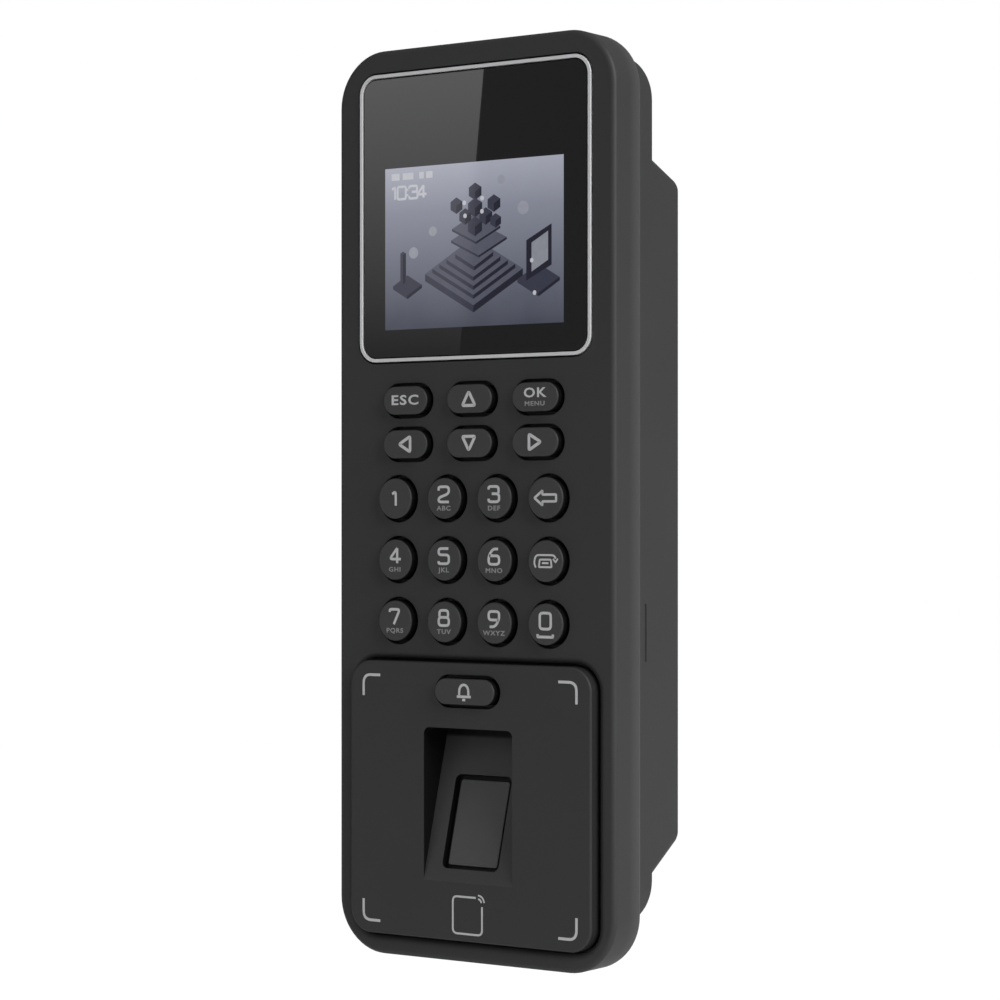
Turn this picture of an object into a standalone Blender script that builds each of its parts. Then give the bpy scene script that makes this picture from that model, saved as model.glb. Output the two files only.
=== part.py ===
"""A wall-mounted fingerprint, card and keypad terminal, as an assembly of separate named pieces.

Sizes are in millimetres and become metres when a mesh is made. X runs to the right seen from the front and Z
runs up. The wall is the plane Y = 0 and the front looks along -Y. A "depth" is counted from the plane of the
front face towards the wall, so a piece that stands proud of that face has a negative depth.
"""

import math

import bmesh
import bpy
from mathutils import Matrix, Vector

MM = 0.001
BODY_ARC_STEPS = 5  # segments in each rounded corner of the large outlines
ARC_STEPS = 3  # and of the small ones
FILLET_STEPS = 2
ROUND_SIDES = 12
GAP = 0.3  # clearance between pieces that rest on each other
CUT_THROUGH = 1.0  # how far a cutter runs past a surface

# Overall body
BODY_WIDTH = 75.6
BODY_HEIGHT = 206.2
BODY_DEPTH = 31.5
BODY_CORNER = 12.5
BODY_TOP = BODY_HEIGHT / 2
BODY_LOW = -BODY_HEIGHT / 2

# Front cover
FRONT_SKIRT = 11.4
FRONT_WALL = 2.5
SIDE_WALL = 2.0
FRONT_EDGE_ROUND = 1.2
REAR_EDGE_ROUND = 1.8

# Display, placed from the top of the body
DISPLAY_WIDTH = 48.96
DISPLAY_HEIGHT = 36.72
TRIM_WIDTH = 63.6
TRIM_HEIGHT = 65.9
TRIM_TOP = BODY_TOP - 5.4
TRIM_LOW = TRIM_TOP - TRIM_HEIGHT
TRIM_BAND = 1.1
TRIM_CORNER = 4.6
TRIM_PROUD = 0.25
WINDOW_SEAT = 1.6
DISPLAY_Z = TRIM_TOP - 40.15
LCD_WIDTH = 60.3
LCD_HEIGHT = 42.7
LCD_THICK = 2.3
LCD_SHIFT = 2.0
LCD_GASKET_THICK = 0.7
VIEW_MARGIN = 1.0  # of the openings around the lit area
GASKET_MARGIN = 2.8
BRACKET_RIM = 2.0
BRACKET_BACK = 1.0
BRACKET_LEDGE = 6.5
LCD_FLEX_WIDTH = 16.0

# Keys, placed from the foot of the display's frame
KEY_GAP = 1.0
KEY_PROUD = 1.5
KEY_TRAVEL = 0.7
KEY_TOP_ROUND = 0.5
KEY_FLANGE_THICK = 0.8
KEY_POST_LENGTH = 1.4
KEY_POST_RADIUS = 2.0
MAT_PAD_LAP = 0.8
OVAL_FLANGE_LAP = 0.4  # how far a key's flange reaches behind its cover, past the hole
ROUND_FLANGE_LAP = 0.7
OVAL_LENGTH = 12.2
OVAL_HEIGHT = 6.4
OVAL_PITCH_X = 17.8
OVAL_PITCH_Z = 9.9
OVAL_FIRST_Z = TRIM_LOW - 8.8
ROUND_KEY_RADIUS = 4.6
ROUND_PITCH_X = 13.75
ROUND_PITCH_Z = 13.85
ROUND_FIRST_Z = OVAL_FIRST_Z - 22.2
ROUND_LAST_Z = ROUND_FIRST_Z - 2 * ROUND_PITCH_Z

# Reader panel, which stands proud in its own opening in the front cover, placed from the foot of the body
PANEL_WIDTH = 65.8
PANEL_HEIGHT = 62.1
PANEL_LOW = BODY_LOW + 5.0
PANEL_TOP = PANEL_LOW + PANEL_HEIGHT
PANEL_CORNER = 5.5
PANEL_PROUD = 2.0
PANEL_WALL = 2.2
PANEL_SIDE_WALL = 1.5
PANEL_GAP = 0.8
PANEL_EDGE_ROUND = 0.5
PANEL_FLANGE = 2.0
PANEL_FLANGE_THICK = 1.2
PANEL_FLANGE_CORNER = BODY_CORNER - SIDE_WALL - 1.1
OPENING_EDGE_ROUND = 1.6
ANTENNA_THICK = 0.8
ANTENNA_INSET = 1.7
BELL_LENGTH = 16.2
BELL_HEIGHT = 5.8
BELL_Z = PANEL_TOP - 6.3
BELL_PROUD = 1.4
BELL_POST_LENGTH = 1.0

# Finger recess: a ramp that is flush at its foot and deepest at its top
RECESS_WIDTH = 24.3
RECESS_LENGTH = 34.4
RECESS_TOP = PANEL_TOP - 14.6
RECESS_FOOT = RECESS_TOP - RECESS_LENGTH
RECESS_DEPTH = 9.6
RECESS_SHELL = 1.6
BOWL_LAP = 1.0  # how far the recess's shell reaches into the panel's wall
SENSOR_WIDTH = 13.4
SENSOR_LENGTH = 19.5
SENSOR_Z = RECESS_TOP - 21.15
SENSOR_GAP = 1.0
SENSOR_SUNK = 0.8
SENSOR_GLASS_THICK = 1.1
SENSOR_BODY_WIDTH = 18.0
SENSOR_BODY_LENGTH = 24.0
SENSOR_BODY_THICK = 6.0
SENSOR_BOARD_THICK = 1.0
SENSOR_CABLE_WIDTH = 8.0
SENSOR_CABLE_X = 8.0

# Rear cover
REAR_WIDTH = BODY_WIDTH - 5.2
REAR_TOP = BODY_TOP - 3.4
REAR_LOW = BODY_LOW + 8.5
REAR_CORNER = 9.5
REAR_STEP = 19.2
REAR_WALL = 2.0
REAR_ROUND = 1.2
REAR_FLANGE_THICK = 2.2
BOX_INSET = 0.2
BOX_TOP = BODY_TOP - 25.5
BOX_LOW = BODY_LOW + 18.6
BOX_BACK_TOP = BOX_TOP - 5.0
BOX_BACK_LOW = BOX_LOW + 7.7
BOX_CORNER = 3.0
BOX_ROUND = 1.0
SEAL_GROOVE = 1.2
SEAL_WIDTH = 0.8
SIDE_SLOT_Z = PANEL_TOP + 7.0
SIDE_SLOT_LENGTH = 12.8
SIDE_SLOT_WIDTH = 0.9
SIDE_SLOT_DEPTH = 16.4
SIDE_SLOT_CUT = 1.2

# Wall plate and its hooks
PLATE_WIDTH = 58.0
PLATE_HEIGHT = BODY_HEIGHT - 82.2
PLATE_CORNER = 3.0
PLATE_THICK = 1.5
PLATE_PROUD = 0.3
PLATE_HOLE_RADIUS = 2.2
PLATE_HOLE_X = 14.0
PLATE_HOLE_Z = PLATE_HEIGHT / 2 - 8.0
PLATE_CLEARANCE = 0.5
GANG_BOX_PITCH = 83.3
CABLE_WIDTH = 44.0
CABLE_HEIGHT = 26.0
CABLE_Z = -23.0
HOOK_WIDTH = 6.0
HOOK_X = 22.0
HOOK_Z = (34.0, -50.0)
HOOK_LIP = 2.5
HOOK_REACH = 4.5
HOOK_PLAY = 4.0  # how far the terminal slides down as it is hung on the hooks
TAB_WIDTH = 12.0
TAB_REACH = 8.0

# Boards and what is on them
BOARD_THICK = 1.6
MAIN_BOARD_WIDTH = 50.0
MAIN_BOARD_TOP = BODY_TOP - 15.1
MAIN_BOARD_LOW = RECESS_TOP + 4.6
MAIN_BOARD_DEPTH = 14.4
KEYPAD_WIDTH = BODY_WIDTH - 13.6
KEYPAD_CORNER = 2.0
KEYPAD_CABLE_WIDTH = 12.0
KEYPAD_CABLE_X = -12.0
NOTCH_CLEARANCE = 0.6
KEYPAD_TOP = OVAL_FIRST_Z + 5.0
KEYPAD_LOW = ROUND_LAST_Z - 6.7
MAT_INSET = 1.0
MAT_THICK = 0.8
MAT_PAD = 0.6
KEYPAD_BOARD_THICK = 1.2
HEADER_LENGTH = 10.6
HEADER_WALL = 1.0
HEADER_FLOOR = 3.0
RIBBON_THICK = 0.4
RIBBON_BEND = 2.0
RIBBON_DROP = 7.5
SHIELD_X = 6.0
SHIELD_LOW = OVAL_FIRST_Z - 15.0
SHIELD_SIZE = 26.0
SHIELD_THICK = 2.4
BATTERY_PLACE = (-14.0, 40.0)
BATTERY_RADIUS = 6.0
BATTERY_THICK = 3.2
BUZZER_PLACE = (12.0, 52.0)
BUZZER_RADIUS = 6.0
BUZZER_HEIGHT = 5.5
BUZZER_HOLE_RADIUS = 1.2
DRUM_SIDES = 16
# Each header's name, centre in X and Z, width and height
HEADERS = (
    ("wiring_header", -6.0, -26.0, 24.0, 7.4),
    ("network_header", -10.0, -14.5, 12.6, 6.8),
    ("power_header", 13.0, -14.5, 8.4, 6.8),
)

# Fasteners
CASE_SCREW_HEAD = 2.5
CASE_SCREW_SHANK = 1.25
CASE_SCREW_X = BODY_WIDTH / 2 - 8.3
CASE_SCREW_Z = (BODY_TOP - 11.6, KEYPAD_LOW + 2.6)
CASE_BOSS_RADIUS = 2.5
CASE_SCREW_LENGTH = 8.0
HEAD_THICK = 1.6
SOCKET_DEPTH = 0.8
POINT_LENGTH = 1.0
POST_RADIUS = 2.4
BOARD_SCREW_X = 21.0
BOARD_SCREW_Z = (MAIN_BOARD_TOP - 22.0, MAIN_BOARD_LOW + 6.0)
BOARD_SCREW_LENGTH = 6.0
FIXING_SCREW_HEAD = 2.7
FIXING_SCREW_SHANK = 1.5
FIXING_SCREW_DEPTH = 24.6
SCREW_CLEARANCE = 0.4
CASE_COLUMN_RADIUS = CASE_SCREW_HEAD + SCREW_CLEARANCE + 1.0

# Tamper switch
TAMPER_X = 12.0
TAMPER_Z = 20.0
SWITCH_SIZE = 7.0
PLUNGER_RADIUS = 1.8
PLUNGER_COLLAR = 0.8
PLUNGER_TIP = 0.5
PLUNGER_TRAVEL = 0.8

# Depths that follow from the sizes above
FRONT_BACK = FRONT_WALL
KEY_FLANGE_FRONT = FRONT_BACK + GAP
KEY_FLANGE_BACK = KEY_FLANGE_FRONT + KEY_FLANGE_THICK
KEY_POST_BACK = KEY_FLANGE_BACK + KEY_POST_LENGTH
MAT_PAD_FRONT = KEY_POST_BACK + KEY_TRAVEL + GAP
MAT_FRONT = MAT_PAD_FRONT + MAT_PAD
KEYPAD_BOARD_FRONT = MAT_FRONT + MAT_THICK + GAP
LCD_GASKET_FRONT = FRONT_BACK + GAP
LCD_FRONT = LCD_GASKET_FRONT + LCD_GASKET_THICK + GAP
LCD_BACK = LCD_FRONT + LCD_THICK
PANEL_FACE = -PANEL_PROUD
PANEL_BACK = PANEL_FACE + PANEL_WALL
PANEL_FLANGE_FRONT = FRONT_BACK + GAP
RAMP_ANGLE = math.atan2(RECESS_DEPTH, RECESS_TOP - RECESS_FOOT)
REAR_FLANGE_FRONT = FRONT_SKIRT - REAR_FLANGE_THICK
RECESS_FLOOR = BODY_DEPTH - PLATE_THICK - GAP - PLATE_CLEARANCE  # bottom of the wall plate's seat
REAR_RIM = BODY_DEPTH - PLATE_PROUD
REAR_INSIDE = RECESS_FLOOR - REAR_WALL
MAIN_BOARD_BACK = MAIN_BOARD_DEPTH + BOARD_THICK
CASE_SCREW_SEAT = FRONT_SKIRT + REAR_WALL  # depth of the face that the case screws' heads press on
SWITCH_BACK = RECESS_FLOOR - 6.5


# ---------------------------------------------------------------- building blocks


def depth_to_y(depth):
    return depth - BODY_DEPTH


def make_material(name, colour, roughness, metallic=0.0):
    material = bpy.data.materials.new(name)
    material.use_nodes = True
    shader = material.node_tree.nodes["Principled BSDF"]
    shader.inputs["Base Color"].default_value = (*colour, 1.0)
    shader.inputs["Roughness"].default_value = roughness
    shader.inputs["Metallic"].default_value = metallic
    return material


def rounded(width, low, high, radius, x=0.0, steps=ARC_STEPS):
    """The outline of a rounded rectangle in the XZ plane, anticlockwise seen from the front."""
    radius = min(radius, width / 2, (high - low) / 2)
    corners = (
        (x + width / 2 - radius, high - radius, 0),
        (x - width / 2 + radius, high - radius, 90),
        (x - width / 2 + radius, low + radius, 180),
        (x + width / 2 - radius, low + radius, 270),
    )
    points = []
    for corner_x, corner_z, start in corners:
        for step in range(steps + 1):
            angle = math.radians(start + 90 * step / steps)
            points.append((corner_x + radius * math.cos(angle), corner_z + radius * math.sin(angle)))
    return points


def disc(radius, x=0.0, z=0.0):
    return rounded(2 * radius, z - radius, z + radius, radius, x)


def fillet(radius):
    """Pairs of inset and depth that round an edge, from the face to the side."""
    if not radius:
        return [(0.0, 0.0)]
    angles = [math.pi / 2 * step / FILLET_STEPS for step in range(FILLET_STEPS + 1)]
    return [(radius * (1 - math.sin(a)), radius * (1 - math.cos(a))) for a in angles]


def add_object(name, bm, material):
    bmesh.ops.remove_doubles(bm, verts=bm.verts, dist=1e-6)
    bmesh.ops.recalc_face_normals(bm, faces=bm.faces)
    mesh = bpy.data.meshes.new(name)
    bm.to_mesh(mesh)
    bm.free()
    made = bpy.data.objects.new(name, mesh)
    bpy.context.scene.collection.objects.link(made)
    if material:
        mesh.materials.append(material)
    mesh.shade_smooth()
    mesh.set_sharp_from_angle(angle=math.radians(35))
    return made


def add_skin(bm, loops):
    """Adds a closed body through outlines of equal length at rising depths, with a flat cap on each end."""
    rings = []
    for depth, outline in loops:
        rings.append([bm.verts.new(Vector((x, depth_to_y(depth), z)) * MM) for x, z in outline])
    for near, far in zip(rings, rings[1:]):
        for i in range(len(near)):
            j = (i + 1) % len(near)
            bm.faces.new((near[i], near[j], far[j], far[i]))
    bm.faces.new(rings[0])
    bm.faces.new(list(reversed(rings[-1])))


def skin(name, loops, material=None):
    bm = bmesh.new()
    add_skin(bm, loops)
    return add_object(name, bm, material)


def slab_loops(
    width, low, high, radius, front, back, x=0.0, front_round=0.0, back_round=0.0, steps=ARC_STEPS,
):
    loops = []
    for inset, rise in fillet(front_round):
        outline = rounded(width - 2 * inset, low + inset, high - inset, radius - inset, x, steps)
        loops.append((front + rise, outline))
    for inset, rise in reversed(fillet(back_round)):
        outline = rounded(width - 2 * inset, low + inset, high - inset, radius - inset, x, steps)
        loops.append((back - rise, outline))
    return loops


def slab(name, width, low, high, radius, front, back, material=None, **more):
    return skin(name, slab_loops(width, low, high, radius, front, back, **more), material)


def prisms(name, outlines, front, back):
    """One cutter that holds a separate straight prism for each outline."""
    bm = bmesh.new()
    for outline in outlines:
        add_skin(bm, [(front, outline), (back, outline)])
    return add_object(name, bm, None)


def profile_across(name, points, width, x=0.0, material=None):
    """A closed profile of (depth, z) points, carried across X."""
    bm = bmesh.new()
    sides = []
    for side in (x - width / 2, x + width / 2):
        sides.append([bm.verts.new(Vector((side, depth_to_y(d), z)) * MM) for d, z in points])
    left, right = sides
    for i in range(len(points)):
        j = (i + 1) % len(points)
        bm.faces.new((left[i], left[j], right[j], right[i]))
    bm.faces.new(left)
    bm.faces.new(list(reversed(right)))
    return add_object(name, bm, material)


def turned(name, profile, place, direction, material=None, sides=ROUND_SIDES):
    """A turned body: (distance, radius) pairs along a direction from a place given as (x, depth, z)."""
    bm = bmesh.new()
    rings = []
    for distance, radius in profile:
        turns = [2 * math.pi * i / sides for i in range(sides)]
        rings.append([bm.verts.new((radius * math.cos(t), radius * math.sin(t), distance)) for t in turns])
    for near, far in zip(rings, rings[1:]):
        for i in range(sides):
            j = (i + 1) % sides
            bm.faces.new((near[i], near[j], far[j], far[i]))
    bm.faces.new(rings[0])
    bm.faces.new(list(reversed(rings[-1])))
    x, depth, z = place
    turn = Vector(direction).to_track_quat("Z", "Y").to_matrix().to_4x4()
    place_matrix = Matrix.Translation(Vector((x, depth_to_y(depth), z)) * MM) @ turn @ Matrix.Scale(MM, 4)
    bmesh.ops.transform(bm, matrix=place_matrix, verts=bm.verts)
    return add_object(name, bm, material)


def hide(helper):
    helper.hide_render = True
    helper.display_type = "WIRE"


def boolean(target, helper, operation):
    modifier = target.modifiers.new(helper.name, "BOOLEAN")
    modifier.operation = operation
    modifier.solver = "EXACT"
    modifier.object = helper
    hide(helper)


def cut(target, *helpers):
    for helper in helpers:
        boolean(target, helper, "DIFFERENCE")


def join(target, *helpers):
    for helper in helpers:
        boolean(target, helper, "UNION")


# ---------------------------------------------------------------- where the keys are


def key_table():
    """Each key's name, centre and cap size, as (name, x, z, width, height)."""
    keys = []
    ovals = (("key_esc", "key_up", "key_ok"), ("key_left", "key_down", "key_right"))
    for row, names in enumerate(ovals):
        for column, name in enumerate(names):
            x = (column - 1) * OVAL_PITCH_X
            z = OVAL_FIRST_Z - row * OVAL_PITCH_Z
            keys.append((name, x, z, OVAL_LENGTH, OVAL_HEIGHT))
    rounds = (
        ("key_1", "key_2", "key_3", "key_back"),
        ("key_4", "key_5", "key_6", "key_input"),
        ("key_7", "key_8", "key_9", "key_0"),
    )
    for row, names in enumerate(rounds):
        for column, name in enumerate(names):
            x = (column - 1.5) * ROUND_PITCH_X
            z = ROUND_FIRST_Z - row * ROUND_PITCH_Z
            keys.append((name, x, z, 2 * ROUND_KEY_RADIUS, 2 * ROUND_KEY_RADIUS))
    return keys


def key_outline(x, z, width, height, grow=0.0):
    width = width + 2 * grow
    height = height + 2 * grow
    return rounded(width, z - height / 2, z + height / 2, height / 2, x)


def make_key(name, x, z, width, height, face, flange_front, flange_grow, post_length, material):
    """A cap with a rounded top edge, a flange that keeps it behind its cover and a post for its switch."""
    loops = []
    for inset, rise in fillet(KEY_TOP_ROUND):
        loops.append((face + rise, key_outline(x, z, width, height, -inset)))
    flange_back = flange_front + KEY_FLANGE_THICK
    loops.append((flange_front, key_outline(x, z, width, height)))
    loops.append((flange_front, key_outline(x, z, width, height, flange_grow)))
    loops.append((flange_back, key_outline(x, z, width, height, flange_grow)))
    loops.append((flange_back, disc(KEY_POST_RADIUS, x, z)))
    loops.append((flange_back + post_length, disc(KEY_POST_RADIUS, x, z)))
    return skin(name, loops, material)


# ---------------------------------------------------------------- front cover and display


def make_front_cover(material):
    cover = slab(
        "front_cover", BODY_WIDTH, BODY_LOW, BODY_TOP, BODY_CORNER, 0.0, FRONT_SKIRT, material,
        front_round=FRONT_EDGE_ROUND, back_round=REAR_EDGE_ROUND, steps=BODY_ARC_STEPS,
    )
    cavity = slab(
        "front_cavity", BODY_WIDTH - 2 * SIDE_WALL, BODY_LOW + SIDE_WALL, BODY_TOP - SIDE_WALL,
        BODY_CORNER - SIDE_WALL, FRONT_BACK, FRONT_SKIRT + CUT_THROUGH, steps=BODY_ARC_STEPS,
    )
    seat = slab(
        "window_seat", TRIM_WIDTH + 2 * GAP, TRIM_LOW - GAP, TRIM_TOP + GAP, TRIM_CORNER + GAP,
        -CUT_THROUGH, WINDOW_SEAT,
    )
    view = slab(
        "display_opening", DISPLAY_WIDTH + 2 * VIEW_MARGIN,
        DISPLAY_Z - DISPLAY_HEIGHT / 2 - VIEW_MARGIN, DISPLAY_Z + DISPLAY_HEIGHT / 2 + VIEW_MARGIN,
        VIEW_MARGIN, -CUT_THROUGH, FRONT_BACK + CUT_THROUGH,
    )
    holes = prisms(
        "key_holes",
        [key_outline(x, z, width, height, KEY_GAP) for _, x, z, width, height in key_table()],
        -CUT_THROUGH, FRONT_BACK + CUT_THROUGH,
    )
    cut(cover, cavity, seat, view, holes, make_panel_opening())
    pillars = prisms(
        "case_bosses", [disc(CASE_BOSS_RADIUS, x, z) for x, z in case_screw_places()],
        FRONT_BACK - 0.6, CASE_SCREW_SEAT - REAR_WALL - GAP,
    )
    pilots = prisms(
        "case_pilots", [disc(CASE_SCREW_SHANK + GAP, x, z) for x, z in case_screw_places()],
        FRONT_BACK + 0.2, CASE_SCREW_SEAT,
    )
    join(cover, pillars)
    cut(cover, pilots)
    return cover


def make_panel_opening():
    """The hole that the reader panel stands in, flared where the front face rolls into it."""
    width = PANEL_WIDTH + 2 * PANEL_GAP
    low = PANEL_LOW - PANEL_GAP
    top = PANEL_TOP + PANEL_GAP
    corner = PANEL_CORNER + PANEL_GAP
    loops = [(-CUT_THROUGH, (width, low, top, corner, OPENING_EDGE_ROUND))]
    for inset, rise in fillet(OPENING_EDGE_ROUND):
        loops.append((rise, (width, low, top, corner, inset)))
    loops.append((FRONT_BACK + CUT_THROUGH, (width, low, top, corner, 0.0)))
    return skin(
        "panel_opening",
        [
            (depth, rounded(w + 2 * grow, a - grow, b + grow, r + grow, steps=BODY_ARC_STEPS))
            for depth, (w, a, b, r, grow) in loops
        ],
    )


def case_screw_places():
    return [(side * CASE_SCREW_X, z) for z in CASE_SCREW_Z for side in (-1, 1)]


def make_display(trim_material, glass, foam, metal, flex):
    trim = slab(
        "screen_trim", TRIM_WIDTH, TRIM_LOW, TRIM_TOP, TRIM_CORNER, -TRIM_PROUD, WINDOW_SEAT - GAP,
        trim_material, front_round=0.2,
    )
    inside = slab(
        "trim_inside", TRIM_WIDTH - 2 * TRIM_BAND, TRIM_LOW + TRIM_BAND, TRIM_TOP - TRIM_BAND,
        TRIM_CORNER - TRIM_BAND, -TRIM_PROUD - CUT_THROUGH, WINDOW_SEAT + CUT_THROUGH,
    )
    cut(trim, inside)
    edge = TRIM_BAND + GAP
    slab(
        "screen_window", TRIM_WIDTH - 2 * edge, TRIM_LOW + edge, TRIM_TOP - edge, TRIM_CORNER - edge,
        0.0, WINDOW_SEAT - GAP, glass,
    )
    low = DISPLAY_Z - DISPLAY_HEIGHT / 2
    top = DISPLAY_Z + DISPLAY_HEIGHT / 2
    gasket = slab(
        "lcd_gasket", DISPLAY_WIDTH + 2 * GASKET_MARGIN, low - GASKET_MARGIN, top + GASKET_MARGIN, 1.5,
        LCD_GASKET_FRONT, LCD_GASKET_FRONT + LCD_GASKET_THICK, foam,
    )
    cut(gasket, slab(
        "gasket_inside", DISPLAY_WIDTH + 2 * VIEW_MARGIN, low - VIEW_MARGIN, top + VIEW_MARGIN, VIEW_MARGIN,
        LCD_GASKET_FRONT - CUT_THROUGH, LCD_GASKET_FRONT + LCD_GASKET_THICK + CUT_THROUGH,
    ))
    lcd_low = DISPLAY_Z - LCD_HEIGHT / 2
    lcd_top = DISPLAY_Z + LCD_HEIGHT / 2
    slab("lcd_module", LCD_WIDTH, lcd_low, lcd_top, 0.6, LCD_FRONT, LCD_BACK, metal, x=LCD_SHIFT)
    bracket = slab(
        "lcd_bracket", LCD_WIDTH + 2 * BRACKET_RIM, lcd_low - BRACKET_RIM, lcd_top + BRACKET_RIM, BRACKET_RIM,
        LCD_FRONT - 0.2, LCD_BACK + GAP + BRACKET_BACK, foam, x=LCD_SHIFT / 2,
    )
    seat = slab(
        "bracket_seat", LCD_WIDTH + 2 * GAP, lcd_low - GAP, lcd_top + GAP, 0.6, LCD_FRONT - CUT_THROUGH,
        LCD_BACK + GAP, x=LCD_SHIFT,
    )
    back_window = slab(
        "bracket_window", LCD_WIDTH - 2 * BRACKET_LEDGE, lcd_low + BRACKET_LEDGE, lcd_top - BRACKET_LEDGE,
        BRACKET_RIM, LCD_FRONT, LCD_BACK + GAP + BRACKET_BACK + CUT_THROUGH, x=LCD_SHIFT,
    )
    cut(bracket, seat, back_window)
    make_ribbon("lcd_flex", hanging_route(LCD_BACK, DISPLAY_Z - 7.5), LCD_FLEX_WIDTH, flex)


def hanging_route(board_back, top):
    """A ribbon's route from behind a front board at a height, down to the face of the main board."""
    start = board_back + GAP + RIBBON_THICK / 2
    end = MAIN_BOARD_DEPTH - GAP - RIBBON_THICK / 2
    return [
        (start, top), (start + RIBBON_BEND, top - RIBBON_DROP / 3),
        (end - RIBBON_BEND, top - RIBBON_DROP * 0.6), (end, top - RIBBON_DROP),
    ]


def make_ribbon(name, route, width, material, x=0.0):
    """A flat cable of even thickness, whose route is a few (depth, z) points."""
    near = []
    far = []
    for i, (depth, z) in enumerate(route):
        before = route[max(i - 1, 0)]
        after = route[min(i + 1, len(route) - 1)]
        along = (after[0] - before[0], after[1] - before[1])
        length = math.hypot(*along)
        side = (-along[1] / length * RIBBON_THICK / 2, along[0] / length * RIBBON_THICK / 2)
        near.append((depth + side[0], z + side[1]))
        far.append((depth - side[0], z - side[1]))
    return profile_across(name, near + far[::-1], width, x, material)


# ---------------------------------------------------------------- keys


def make_keypad(key_material, silicone, board_green, flex):
    for name, x, z, width, height in key_table():
        grow = KEY_GAP + (OVAL_FLANGE_LAP if width > height else ROUND_FLANGE_LAP)
        make_key(
            name, x, z, width, height, -KEY_PROUD, KEY_FLANGE_FRONT, grow, KEY_POST_LENGTH, key_material,
        )
    mat = slab(
        "keypad_mat", KEYPAD_WIDTH - 2 * MAT_INSET, KEYPAD_LOW + MAT_INSET, KEYPAD_TOP - MAT_INSET,
        KEYPAD_CORNER, MAT_FRONT, MAT_FRONT + MAT_THICK, silicone,
    )
    join(mat, prisms(
        "mat_pads", [disc(KEY_POST_RADIUS + MAT_PAD_LAP, x, z) for _, x, z, _, _ in key_table()],
        MAT_PAD_FRONT, MAT_FRONT + MAT_THICK / 2,
    ))
    board_back = KEYPAD_BOARD_FRONT + KEYPAD_BOARD_THICK
    board = slab(
        "keypad_board", KEYPAD_WIDTH, KEYPAD_LOW, KEYPAD_TOP, KEYPAD_CORNER, KEYPAD_BOARD_FRONT, board_back,
        board_green,
    )
    notches = [
        disc(CASE_BOSS_RADIUS + NOTCH_CLEARANCE, x, z) for x, z in case_screw_places() if z < KEYPAD_TOP
    ]
    cut(board, prisms(
        "keypad_board_notches", notches, KEYPAD_BOARD_FRONT - CUT_THROUGH, board_back + CUT_THROUGH,
    ))
    cut(mat, prisms("keypad_mat_notches", notches, MAT_PAD_FRONT - CUT_THROUGH, MAT_FRONT + 2 * MAT_THICK))
    route = hanging_route(board_back, OVAL_FIRST_Z - 13.0)
    make_ribbon("keypad_cable", route, KEYPAD_CABLE_WIDTH, flex, x=KEYPAD_CABLE_X)


# ---------------------------------------------------------------- reader panel and fingerprint sensor


def ramp_depth(z):
    """Depth of the recess's ramp at a height."""
    return PANEL_FACE + (z - RECESS_FOOT) * math.tan(RAMP_ANGLE)


def tilted_box(name, width, length, near, far, material=None, corner=1.0):
    """A block at the sensor: near and far are measured square to the ramp, from its surface."""
    made = slab(name, width, -length / 2, length / 2, corner, near + BODY_DEPTH, far + BODY_DEPTH, material)
    place = Vector((0.0, depth_to_y(ramp_depth(SENSOR_Z)), SENSOR_Z)) * MM
    turn = Matrix.Rotation(-RAMP_ANGLE, 4, "X")
    made.data.transform(Matrix.Translation(place) @ turn)
    return made


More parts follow.
